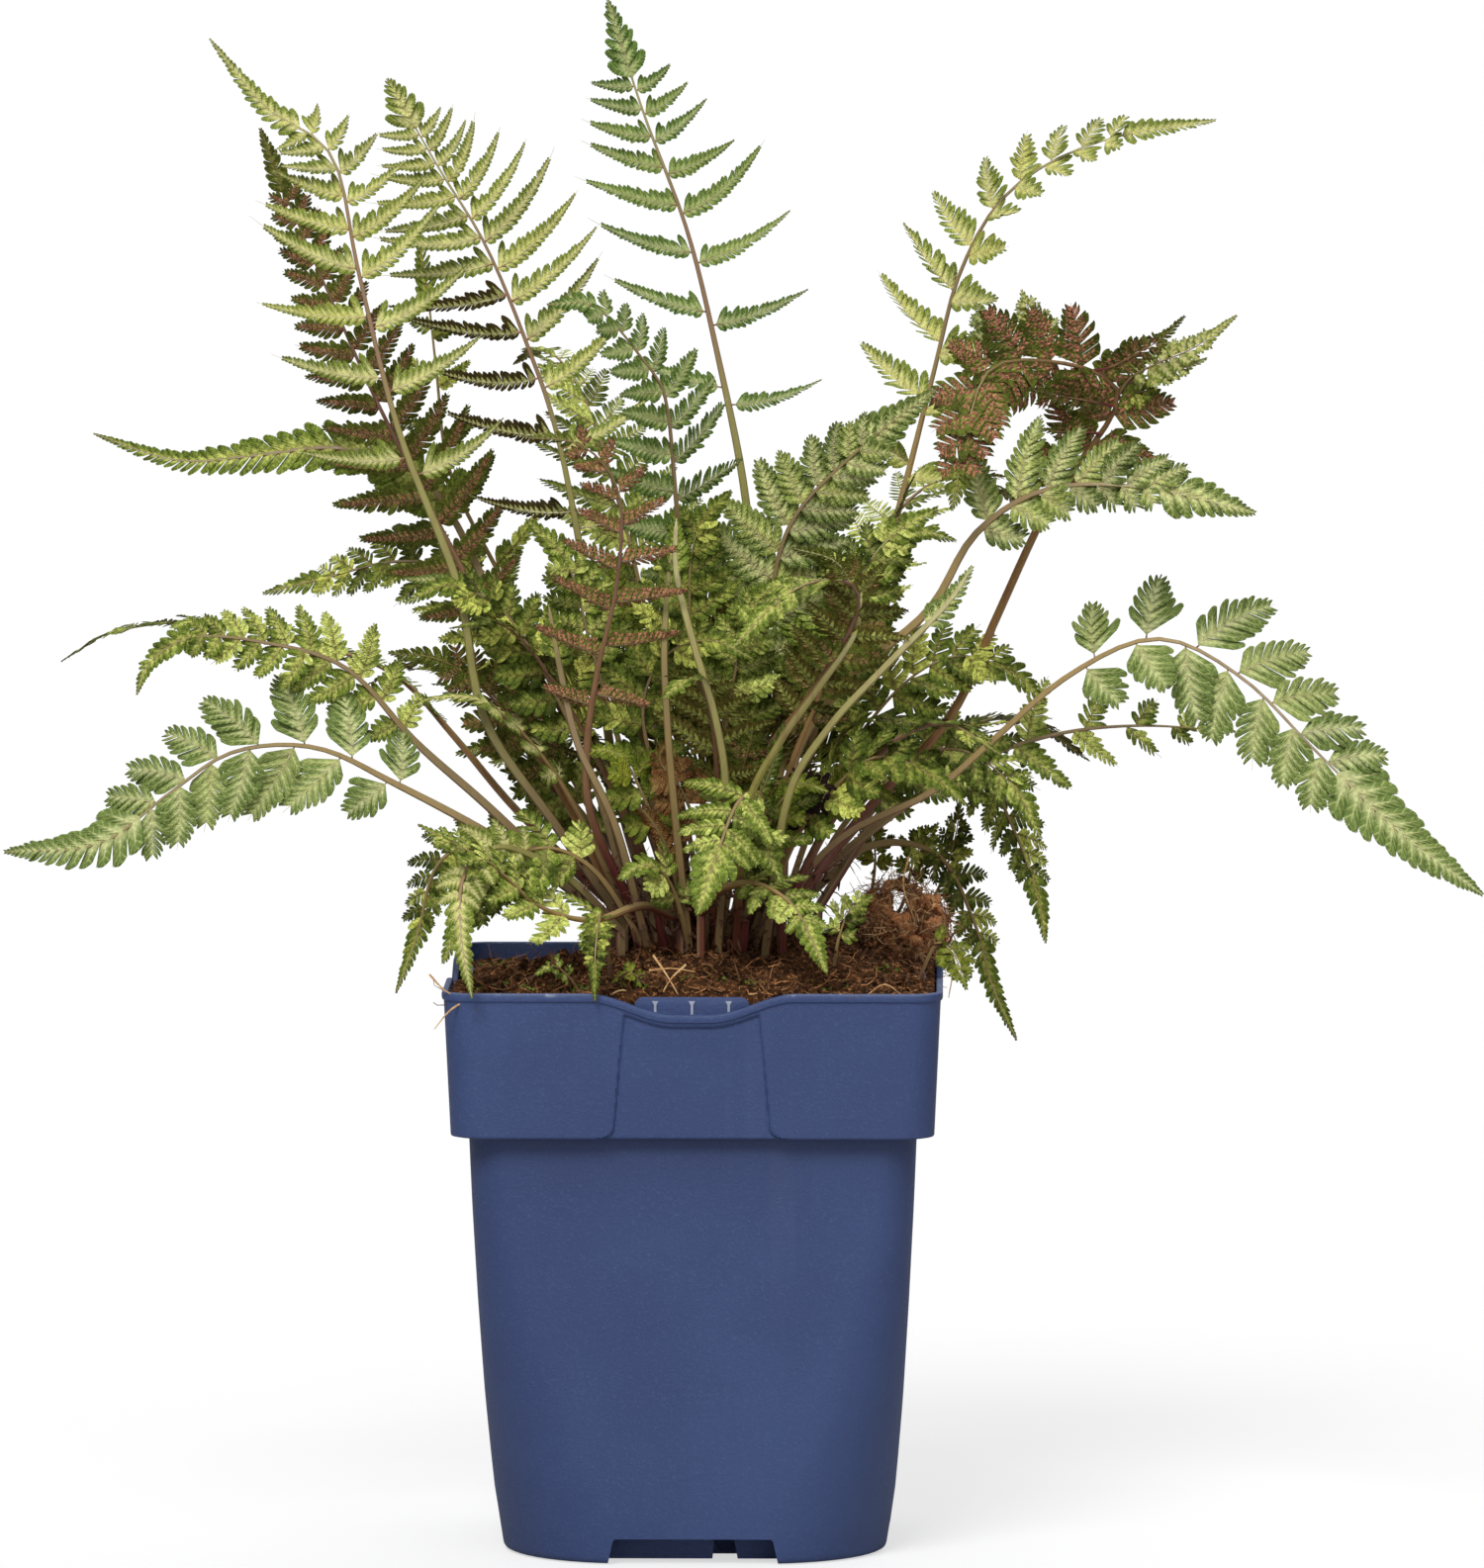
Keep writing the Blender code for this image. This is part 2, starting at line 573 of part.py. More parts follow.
def at(values, share):
    """A value between the even samples of a line."""
    place = share * (len(values) - 1)
    low = min(int(place), len(values) - 2)
    return values[low] * (1 - (place - low)) + values[low + 1] * (place - low)


def tube(points, radii, sides=4):
    """A closed round bar along points."""
    bm = bmesh.new()
    points = [np.array(p, float) for p in points]
    rings = []
    for index, (point, radius) in enumerate(zip(points, radii)):
        ahead = points[min(index + 1, len(points) - 1)] - points[max(index - 1, 0)]
        ahead /= np.linalg.norm(ahead)
        across = np.cross(ahead, (0.2, 1.0, 0.1))
        across /= np.linalg.norm(across)
        third = np.cross(ahead, across)
        ring = []
        for side in range(sides):
            angle = 2 * math.pi * side / sides
            turned = across * math.cos(angle) + third * math.sin(angle)
            ring.append(point + turned * radius)
        rings.append([bm.verts.new(p) for p in ring])
    for low, high in zip(rings, rings[1:]):
        for side in range(sides):
            nxt = (side + 1) % sides
            bm.faces.new((low[side], low[nxt], high[nxt], high[side]))
    bm.faces.new(rings[0][::-1])
    bm.faces.new(rings[-1])
    bmesh.ops.recalc_face_normals(bm, faces=bm.faces)
    return bm


def stipe_points(spine, start, steps=STIPE_STEPS):
    """The stipe from its foot in the soil to just past the start of the blade."""
    root = spine[0]
    foot_z = soil_height(root[0], root[1]) - SUNK
    foot = np.array([root[0], root[1], foot_z])
    shares = np.linspace(0, start, steps)
    points = [foot] + [at(spine, share) for share in shares]
    radii = [STIPE_RADII[0]] + list(np.linspace(*STIPE_RADII, steps))
    return points, radii


PINNA_SHAPES = {  # along the pinna and across it, from its forward base to its hind base
    9: ((0.24, 0.50), (0.40, 0.22), (0.60, 0.34), (1.0, 0.06),
        (0.64, -0.26), (0.44, -0.18), (0.24, -0.46)),
    7: ((0.28, 0.50), (0.56, 0.20), (1.0, 0.06), (0.66, -0.26), (0.26, -0.48)),
    6: ((0.30, 0.50), (1.0, 0.06), (0.60, -0.20), (0.30, -0.48)),
}


class Frond:
    """One frond: a stipe, and a thin sheet of rachis, pinnae and tip piece."""

    def __init__(self, name, spine):
        (_, upper, self.start, self.tip, self.length, self.width,
         self.pairs, self.corners, self.look) = FRONDS[name]
        self.name = name
        self.steps = STIPE_STEPS if self.corners > 6 else STIPE_STEPS - 1
        self.spine = spine
        self.along, self.face, self.side = frames(spine, upper)
        self.verts = []
        self.faces = []
        self.arms = []
        self.size = np.linalg.norm(np.diff(spine, axis=0), axis=1).sum()
        self.upright = upper is not None and abs(upper[2]) < 0.45 and self.length > 20
        self.build_rib()

    def add(self, point):
        self.verts.append(np.array(point, float))
        return len(self.verts) - 1

    def build_rib(self):
        """The strip of the rachis, with a base on each edge for every pinna."""
        blade_end = 1 - self.tip
        base = 2.4 / self.size
        step = (blade_end - self.start - 0.02) / self.pairs
        self.stations = [self.start + 0.02 + step * (index + 0.35) for index in range(self.pairs)]
        shares = [self.start - 4.0 / self.size]
        for station in self.stations:
            shares += [station - base / 2, station + base / 2]
        shares.append(blade_end)
        self.rows = []
        for share in shares:
            half = RIB_HALF * (1.0 if share < blade_end else 0.9)
            point, side = at(self.spine, share), at(self.side, share)
            left, right = self.add(point + side * half), self.add(point - side * half)
            self.rows.append((left, right))
        for (l0, r0), (l1, r1) in zip(self.rows, self.rows[1:]):
            self.faces.append((l0, r0, r1, l1))

    def tip_points(self, roll, scale):
        """Both edges of the tip piece: toothed, and narrowing along the spine."""
        low = 1 - self.tip
        wide = self.width * 0.62 * scale
        teeth = {9: 3, 7: 2, 6: 1}[self.corners]
        turn = math.radians(roll)
        edges = ([], [])
        for index in range(teeth):
            for part, share in ((0.30, 1.0), (0.78, 0.42)):
                v = (index + part) / teeth
                u = low + self.tip * v
                half = wide * (1 - 0.85 * v) * share + 0.35
                side = at(self.side, u) * math.cos(turn) + at(self.face, u) * math.sin(turn)
                for edge, way in zip(edges, (1, -1)):
                    edge.append(at(self.spine, u) + side * half * way)
        return edges

    def tip_outline(self, edges):
        """The tip piece as one loop of points, and its triangles."""
        left, right = self.rows[-1]
        row_left = [self.verts[left]] + edges[0]
        row_right = [self.verts[right]] + edges[1]
        rows = len(row_left)
        outline = row_left + [self.spine[-1]] + row_right[::-1]
        last = len(outline) - 1
        faces = [(rows - 1, rows, rows + 1)]
        for i in range(rows - 1):
            faces += [(i, last - i, last - i - 1), (i, last - i - 1, i + 1)]
        return outline, faces

    def add_tip(self, edges):
        left = [self.rows[-1][0]] + [self.add(point) for point in edges[0]]
        right = [self.rows[-1][1]] + [self.add(point) for point in edges[1]]
        end = self.add(self.spine[-1])
        for index in range(len(left) - 1):
            self.faces.append((left[index], right[index], right[index + 1], left[index + 1]))
        self.faces.append((left[-1], right[-1], end))

    def arm_points(self, index, way, lift, scale):
        """The free outline of a pinna, bent by a lift in degrees."""
        share = self.stations[index]
        v = (share - self.start) / (1 - self.start)
        rise = min(1.0, 0.66 + v * 1.7)
        fall = max(0.0, min(1.0, (1.02 - v) / 0.80)) ** 0.85
        length = self.length * rise * fall * scale
        room = (1 - self.tip - self.start) * self.size / self.pairs
        width = min(self.width, room * 0.86) * (0.55 + 0.45 * fall)
        along, face, side = (at(v3, share) for v3 in (self.along, self.face, self.side))
        forward = math.radians(14 + 30 * v)
        out = side * way * math.cos(forward) + along * math.sin(forward)
        across = along * math.cos(forward) - side * way * math.sin(forward)
        bend = math.radians(lift)
        out_bent = out * math.cos(bend) + face * math.sin(bend)
        up = face * math.cos(bend) - out * math.sin(bend)
        twist = math.radians(34 if self.upright else 8)
        left, right = self.rows[1 + 2 * index], self.rows[2 + 2 * index]
        pick = 0 if way > 0 else 1
        low, high = left[pick], right[pick]
        root = (self.verts[low] + self.verts[high]) / 2
        points = []
        for s, t in PINNA_SHAPES[self.corners]:
            turn = twist * min(1.0, s * 3)
            cross = across * math.cos(turn) + up * math.sin(turn)
            droop = face * (-0.10 * s * s * length)
            points.append(root + out_bent * s * length + cross * t * width + droop
                          + across * 0.12 * length * s * s)
        return low, high, points

    def add_arm(self, low, high, points):
        loop = [high] + [self.add(point) for point in points] + [low]
        self.faces.append(tuple(loop))

    def sheet(self):
        bm = bmesh.new()
        verts = [bm.verts.new(vert) for vert in self.verts]
        for face in self.faces:
            bm.faces.new([verts[index] for index in face])
        bmesh.ops.recalc_face_normals(bm, faces=bm.faces)
        bmesh.ops.triangulate(bm, faces=bm.faces, quad_method="BEAUTY", ngon_method="BEAUTY")
        return bm

    def solid(self):
        made = add_object("frond_" + self.name, self.sheet(), self.look + "_leaf")
        thick = made.modifiers.new("thickness", "SOLIDIFY")
        thick.thickness = BLADE_THICK * MM
        thick.offset = 0
        evaluate(made)
        points, radii = stipe_points(self.spine, self.start, self.steps)
        stipe = add_object("stipe", tube(points, radii))
        join(made, [stipe], "UNION")
        tidy(made)
        return made


def thick_tree(points, triangles, thick):
    """A search tree of a thin plate around triangles."""
    points = np.array(points)
    a, b, c = (points[[tri[i] for tri in triangles]] for i in range(3))
    normal = np.cross(b - a, c - a).sum(axis=0)
    normal /= np.linalg.norm(normal) + 1e-9
    both = np.concatenate([points + normal * thick / 2, points - normal * thick / 2])
    count = len(points)
    faces = list(triangles) + [tuple(i + count for i in tri) for tri in triangles]
    for i in range(count):
        j = (i + 1) % count
        faces += [(i, j, j + count), (i, j + count, i + count)]
    low, high = both.min(axis=0), both.max(axis=0)
    return BVHTree.FromPolygons([Vector(p) for p in both], faces), low, high


def fan(count):
    """Triangles of a leaf outline, in pairs across its middle."""
    faces = []
    low, high = 0, count - 1
    while high - low > 1:
        faces.append((low, low + 1, high))
        low += 1
        if high - low > 1:
            faces.append((low, high - 1, high))
            high -= 1
    return faces


def solid_tree(bm):
    points = [vert.co.copy() for vert in bm.verts]
    bm.verts.index_update()
    faces = [[vert.index for vert in face.verts] for face in bm.faces]
    array = np.array([tuple(p) for p in points])
    return BVHTree.FromPolygons(points, faces), array.min(axis=0), array.max(axis=0)


def object_tree(thing):
    """A search tree of a finished solid, in mm."""
    points = [vert.co / MM for vert in thing.data.vertices]
    faces = [list(face.vertices) for face in thing.data.polygons]
    array = np.array([tuple(p) for p in points])
    return BVHTree.FromPolygons(points, faces), array.min(axis=0), array.max(axis=0)


def touches(one, others):
    tree, low, high = one
    for other, other_low, other_high in others:
        if (low > other_high).any() or (high < other_low).any():
            continue
        if tree.overlap(other):
            return True
    return False


def clear_stipes(fronds):
    """Gives finer steps to stipes whose straight pieces would cut through another."""
    for _ in range(4):
        trees = []
        for frond in fronds:
            points, radii = stipe_points(frond.spine, frond.start, frond.steps)
            radii = [radius + CLEARANCE / 2 for radius in radii]
            trees.append(solid_tree(tube(points, radii)))
        crossed = set()
        for i, one in enumerate(trees):
            for j, other in enumerate(trees[:i]):
                if touches(one, [other]):
                    crossed |= {i, j}
        for index in crossed:
            fronds[index].steps += 2
        if not crossed:
            return
    print("stipes still crossed:", sorted(fronds[index].name for index in crossed))


def grow_fronds(fixed):
    """Makes all fronds; each pinna is bent clear of what is there before it."""
    names = list(FRONDS)
    lines = [[np.array(point, float) for point in FRONDS[name][0]] for name in names]
    spread_roots(lines)
    spines = np.array([smooth_line(line, 41) for line in lines])
    spread_spines(spines)
    fronds = [Frond(name, spine) for name, spine in zip(names, spines)]
    clear_stipes(fronds)
    ribs = {}
    for frond in fronds:
        points, radii = stipe_points(frond.spine, frond.start, frond.steps)
        ribs[frond.name] = [solid_tree(tube(points, radii))]
        sheet = frond.sheet()
        thick = []
        for face in sheet.faces:
            corners = [vert.co[:] for vert in face.verts]
            thick.append(thick_tree(corners, [(0, 1, 2)], BLADE_THICK))
        ribs[frond.name] += thick
        sheet.free()
    placed = []
    bent = dropped = 0
    for frond in fronds:
        around = list(fixed) + placed
        for name, trees in ribs.items():
            if name != frond.name:
                around += trees
        for scale, roll in ((1, 0), (1, 30), (1, -30), (0.7, 0), (0.7, 45), (0.45, 0), (0.3, 0)):
            edges = frond.tip_points(roll, scale)
            outline, plates = frond.tip_outline(edges)
            if not touches(thick_tree(outline, plates, BLADE_THICK + 2 * CLEARANCE), around):
                break
        else:
            print("no room for the tip of", frond.name)
        frond.add_tip(edges)
        placed.append(thick_tree(outline, plates, BLADE_THICK))
    for frond in fronds:
        around = list(fixed) + placed
        for name, trees in ribs.items():
            if name != frond.name:
                around += trees
        for index in range(frond.pairs):
            for way in (1, -1):
                for scale in (1.0, 0.75, 0.5):
                    found = None
                    for lift in LIFTS:
                        low, high, points = frond.arm_points(index, way, lift, scale)
                        outline = [frond.verts[high]] + points + [frond.verts[low]]
                        plates = fan(len(outline))
                        tree = thick_tree(outline, plates, BLADE_THICK + 2 * CLEARANCE)
                        if not touches(tree, around):
                            found = (low, high, points)
                            bent += lift != 0
                            break
                    if found:
                        break
                if not found:
                    dropped += 1
                    continue
                frond.add_arm(*found)
                done = thick_tree(outline, plates, BLADE_THICK)
                placed.append(done)
                around.append(done)
    print("pinnae", len(placed), "bent", bent, "dropped", dropped)
    return fronds


def bore_soil(target, fronds, name):
    """Cuts a plain hole for each stipe."""
    tools = []
    for frond in fronds:
        points, radii = stipe_points(frond.spine, frond.start, frond.steps)
        points = [points[0] - np.array([0, 0, 0.3]), points[1]]
        radii = [radius + 0.45 for radius in radii[:2]]
        tools.append(add_object(f"{name}_{frond.name}", tube(points, radii)))
    return tools


def main():
    clear_scene()
    pot = make_pot()
    soil = make_soil()
    crown = add_object("rhizome", crown_shape(0), "rhizome_chaff")
    fronds = grow_fronds([object_tree(thing) for thing in (pot, soil, crown)])
    cuts = on_four_sides(lambda: foot_gap(WALL + SOIL_GAP)) + on_four_sides(tab_room)
    join(soil, cuts, "DIFFERENCE")
    join(soil, [add_object("bed", crown_shape(SOIL_GAP))], "DIFFERENCE")
    join(soil, bore_soil(soil, fronds, "hole"), "DIFFERENCE")
    join(crown, bore_soil(crown, fronds, "bore"), "DIFFERENCE")
    tidy(soil)
    tidy(crown)
    for frond in fronds:
        frond.solid()
    total = 0
    for thing in bpy.data.objects:
        thing.data.calc_loop_triangles()
        total += len(thing.data.loop_triangles)
        print(thing.name, len(thing.data.loop_triangles))
    print("triangles", total)


main()
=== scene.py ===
import math
import bpy
import numpy as np
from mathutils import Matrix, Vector, noise


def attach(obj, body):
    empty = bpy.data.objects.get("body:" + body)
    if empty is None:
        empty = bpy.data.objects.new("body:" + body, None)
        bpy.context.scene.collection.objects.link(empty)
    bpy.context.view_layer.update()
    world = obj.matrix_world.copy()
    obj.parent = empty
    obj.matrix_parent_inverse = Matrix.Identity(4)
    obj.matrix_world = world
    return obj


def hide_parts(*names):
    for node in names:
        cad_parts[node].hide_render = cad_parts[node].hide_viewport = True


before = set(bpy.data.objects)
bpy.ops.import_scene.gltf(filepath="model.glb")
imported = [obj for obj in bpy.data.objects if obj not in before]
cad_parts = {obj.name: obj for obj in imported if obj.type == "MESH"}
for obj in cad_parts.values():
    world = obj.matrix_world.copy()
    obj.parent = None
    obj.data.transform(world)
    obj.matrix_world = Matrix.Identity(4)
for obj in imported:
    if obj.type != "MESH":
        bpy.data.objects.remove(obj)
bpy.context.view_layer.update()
draw = np.random.default_rng(7)
mm = 0.001
print("frame loaded")

# camera and lamps
view = {"target": (0.01591, 0.0, 0.26428), "azimuth": 0.9, "elevation": 5.3, "distance": 4.5, "lens": 296.6,
        "clip": 200}
lamps = {
    "keyLeft": {"turn": -18, "rise": 48, "strength": 1.85, "spread": 24},
    "fillRight": {"turn": 34, "rise": 24, "strength": 0.4, "spread": 50},
    "topBack": {"turn": 165, "rise": 62, "strength": 0.55, "spread": 40},
}


def bearing(turn, rise):
    turn, rise = math.radians(turn), math.radians(rise)
    return Vector((math.sin(turn) * math.cos(rise), -math.cos(turn) * math.cos(rise), math.sin(rise)))


def aim(thing, away):
    thing.rotation_euler = (-away).to_track_quat("-Z", "Y").to_euler()


away = bearing(view["azimuth"], view["elevation"])
bpy.ops.object.camera_add(location=Vector(view["target"]) + away * view["distance"])
camera = bpy.context.object
aim(camera, away)
camera.data.lens, camera.data.clip_end = view["lens"], view["clip"]
bpy.context.scene.camera = camera
bpy.context.scene.view_settings.view_transform = "Standard"

for lampName, lamp in lamps.items():
    away = bearing(lamp["turn"], lamp["rise"])
    bpy.ops.object.light_add(type="SUN", location=away * 3)
    light = bpy.context.object
    light.name = lampName
    light.data.energy, light.data.angle = lamp["strength"], math.radians(lamp["spread"])
    aim(light, away)


class Wire:
    # one output socket of a shader node, with arithmetic
    def __init__(self, tree, socket=None):
        self.tree = tree
        self.socket = socket

    def node(self, kind, settings=None, sockets=None, out=0):
        made = self.tree.nodes.new("ShaderNode" + kind)
        for key, value in (settings or {}).items():
            setattr(made, key, value)
        for key, value in (sockets or {}).items():
            if isinstance(value, Wire):
                self.tree.links.new(value.socket, made.inputs[key])
            else:
                made.inputs[key].default_value = value
        return Wire(self.tree, made.outputs[out])

    def maths(self, operation, a, b=0.0):
        return self.node("Math", {"operation": operation}, {0: a, 1: b})

    def __add__(self, other):
        return self.maths("ADD", self, other)

    def __radd__(self, other):
        return self.maths("ADD", other, self)

    def __sub__(self, other):
        return self.maths("SUBTRACT", self, other)

    def __rsub__(self, other):
        return self.maths("SUBTRACT", other, self)

    def __mul__(self, other):
        return self.maths("MULTIPLY", self, other)

    def __rmul__(self, other):
        return self.maths("MULTIPLY", other, self)

    def __truediv__(self, other):
        return self.maths("DIVIDE", self, other)

    def __rtruediv__(self, other):
        return self.maths("DIVIDE", other, self)

    def wave(self):
        return self.maths("SINE", self)

    def size(self):
        return self.maths("ABSOLUTE", self)

    def ease(self, low, high, start=0.0, end=1.0):
        return self.node("MapRange", {"interpolation_type": "SMOOTHSTEP"},
                         {"Value": self, "From Min": low, "From Max": high, "To Min": start, "To Max": end})

    def stretch(self, scale):
        return self.node("VectorMath", {"operation": "MULTIPLY"}, {0: self, 1: scale})


def rgb(red, green, blue):
    def linear(value):
        value /= 255
        return value / 12.92 if value <= 0.04045 else ((value + 0.055) / 1.055) ** 2.4
    return (linear(red), linear(green), linear(blue), 1.0)


class Paint:
    # a material on Object coordinates; a constant's name has _ for each space
    def __init__(self, name, **constants):
        self.material = bpy.data.materials.new(name)
        self.material.use_nodes = True
        self.tree = self.material.node_tree
        self.shader = self.tree.nodes["Principled BSDF"]
        for key, value in constants.items():
            self.shader.inputs[key.replace("_", " ")].default_value = value
        self.wire = Wire(self.tree)
        self.place = self.wire.node("TexCoord", out=3)

    def noise(self, scale, detail=3.0, rough=0.5, vector=None):
        return self.wire.node("TexNoise", {}, {"Vector": vector or self.place, "Scale": scale, "Detail": detail,
                                               "Roughness": rough})

    def cells(self, scale):
        return self.wire.node("TexVoronoi", {"feature": "F1"}, {"Vector": self.place, "Scale": scale})

    def data(self, name, out=0):
        return self.wire.node("Attribute", {"attribute_name": name}, {}, out)

    def mix(self, factor, first, second, kind="MIX"):
        return self.wire.node("Mix", {"data_type": "RGBA", "blend_type": kind, "clamp_factor": True},
                              {0: factor, 6: first, 7: second}, out=2)

    def split(self, color):
        made = self.tree.nodes.new("ShaderNodeSeparateColor")
        self.tree.links.new(color.socket, made.inputs[0])
        return [Wire(self.tree, made.outputs[i]) for i in range(3)]

    def put(self, name, value):
        self.tree.links.new(value.socket, self.shader.inputs[name])

    def bump(self, height, depth, strength=1.0):
        self.put("Normal", self.wire.node("Bump", {}, {"Height": height, "Distance": depth, "Strength": strength}))


# sky and floor
sky = {"fill": 0.39, "sides": 0.10, "seen": 1.0, "flank": (0.25, 0.95)}
world = bpy.data.worlds.new("studio")
bpy.context.scene.world = world
world.use_nodes = True
backdrop = world.node_tree.nodes["Background"]
backdrop.inputs["Color"].default_value = (1.0, 1.0, 1.0, 1)
air = Wire(world.node_tree)
sideways = air.node("SeparateXYZ", {}, {0: air.node("TexCoord")}).size()
level = air.node("Mix", {}, {0: air.node("LightPath"), 2: sideways.ease(*sky["flank"], sky["fill"], sky["sides"]),
                             3: sky["seen"]})
world.node_tree.links.new(level.socket, backdrop.inputs["Strength"])

ground = {"size": 120.0, "height": -0.0004, "glow": 0.62, "greys": (rgb(168, 168, 168), rgb(172, 172, 172))}
bpy.ops.object.select_all(action="DESELECT")
bpy.ops.mesh.primitive_plane_add(size=ground["size"], location=(0, 0, ground["height"]))
floor = bpy.context.object
floor.name = "floor"
bpy.ops.object.transform_apply(location=True)
floorPaint = Paint("paleFloor", Roughness=0.9, Emission_Strength=ground["glow"])
floorPaint.put("Base Color", floorPaint.mix(floorPaint.noise(3.0), *ground["greys"]))
seen = floorPaint.wire.node("LightPath")  # it glows for the camera alone
floorPaint.put("Emission Color", floorPaint.mix(seen, (0, 0, 0, 1), (1, 1, 1, 1)))
floor.data.materials.append(floorPaint.material)
print("camera, lights and floor done")


def pickOnly(piece):
    bpy.ops.object.select_all(action="DESELECT")
    piece.select_set(True)
    bpy.context.view_layer.objects.active = piece


def addPiece(name, mesh):
    piece = bpy.data.objects.new(name, mesh)
    bpy.context.scene.collection.objects.link(piece)
    return piece


def finishPiece(piece, smoothAngle, node=None):
    pickOnly(piece)
    bpy.ops.object.shade_smooth_by_angle(angle=math.radians(smoothAngle))
    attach(piece, "root")
    if node:
        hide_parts(node)
    return piece


def meshPiece(name, points, faces, paints, faceSlots=None, smoothAngle=40, node=None,
              pointData=None, faceData=None):
    # a piece from arrays of points in millimetres and of faces
    points = np.asarray(points, float) * mm
    faces = np.asarray(faces, np.int32)
    mesh = bpy.data.meshes.new(name)
    mesh.vertices.add(len(points))
    mesh.vertices.foreach_set("co", points.astype(np.float32).ravel())
    corners = faces.shape[1]
    mesh.loops.add(faces.size)
    mesh.loops.foreach_set("vertex_index", faces.ravel())
    mesh.polygons.add(len(faces))
    mesh.polygons.foreach_set("loop_start", np.arange(0, faces.size, corners, dtype=np.int32))
    if faceSlots is not None:
        mesh.polygons.foreach_set("material_index", np.asarray(faceSlots, np.int32))
    for key, values in (pointData or {}).items():
        layer = mesh.attributes.new(key, "FLOAT_COLOR", "POINT")
        layer.data.foreach_set("color", np.asarray(values, np.float32).ravel())
    for key, values in (faceData or {}).items():
        layer = mesh.attributes.new(key, "FLOAT", "FACE")
        layer.data.foreach_set("value", np.asarray(values, np.float32))
    mesh.update(calc_edges=True)
    mesh.validate()
    for paint in paints:
        mesh.materials.append(paint.material)
    return finishPiece(addPiece(name, mesh), smoothAngle, node)


# paints of the fern
plainTones = {"depth": 0.3, "grain": 0.4}
driedBrown, deepShade, grainShade = rgb(104, 74, 44), rgb(128, 136, 120), rgb(160, 158, 146)


def leafPaint(name, tones):
    tones = {**plainTones, **tones}
    paint = Paint(name, Roughness=0.55, Specular_IOR_Level=0.16)
    along, across, chance = paint.split(paint.data("leafMap"))  # of one lobe
    pinna, _, shade = paint.split(paint.data("leafPlace"))  # along the leaflet, along the frond, shade
    under = paint.data("leafUnder", 2)
    inner = paint.mix(chance, tones["silver"], tones["pale"])
    outer = paint.mix(paint.noise(140), tones["green"], tones["deep"])
    spread = along * 0.9 + across * 0.22 + (paint.noise(110, 4, 0.6) - 0.5) * 0.6
    top = paint.mix(spread.ease(tones["edge"] - 0.3, tones["edge"] + 0.22), inner, outer)
    ribs = (along * 24 - across * 8).wave().ease(0.5, 1.0) * across.ease(0.06, 0.2)
    top = paint.mix(ribs * 0.5, top, tones["vein"])
    top = paint.mix(chance.ease(0.66, 0.86) * tones["fresh"], top, tones["bright"])
    middle = across.ease(0.16, 0.04) * along.ease(0.95, 0.5)
    top = paint.mix(middle * 0.5, top, tones["midrib"])
    base = along.ease(0.34, 0.0) * pinna.ease(1.0, 0.2) * tones["blush"]
    top = paint.mix(base, top, tones["wine"])
    # darker along the lobe's sides towards its tip: painted shade in the slits between neighbouring lobes
    top = paint.mix(across.ease(0.66, 1.0) * along.ease(0.25, 0.7) * 0.75, top, tones["deep"])
    below = paint.mix(paint.noise(160), tones["under"], tones["underDeep"])
    below = paint.mix(ribs * 0.25, below, tones["wine"])
    color = paint.mix(under, top, below)
    dried = paint.noise(38, 4, 0.65).ease(0.66, 0.74) * tones["dry"]
    color = paint.mix(dried, color, driedBrown)
    color = paint.mix(shade, color, tones["dark"], "MULTIPLY")
    color = paint.mix(chance.ease(0.46, 0.08) * tones["depth"], color, deepShade, "MULTIPLY")
    specks = paint.noise(700, 3, 0.6).ease(0.4, 0.62) * tones["grain"]
    color = paint.mix(specks, color, grainShade, "MULTIPLY")
    paint.put("Base Color", paint.mix(1.0, color, tones["wash"], "MULTIPLY"))
    paint.put("Roughness", paint.noise(220, 2).ease(0.2, 0.8, 0.5, 0.72))
    paint.bump((along * 30 - across * 9).wave() * 0.4 + paint.noise(700, 4, 0.65), 0.0003, 0.75)
    return paint


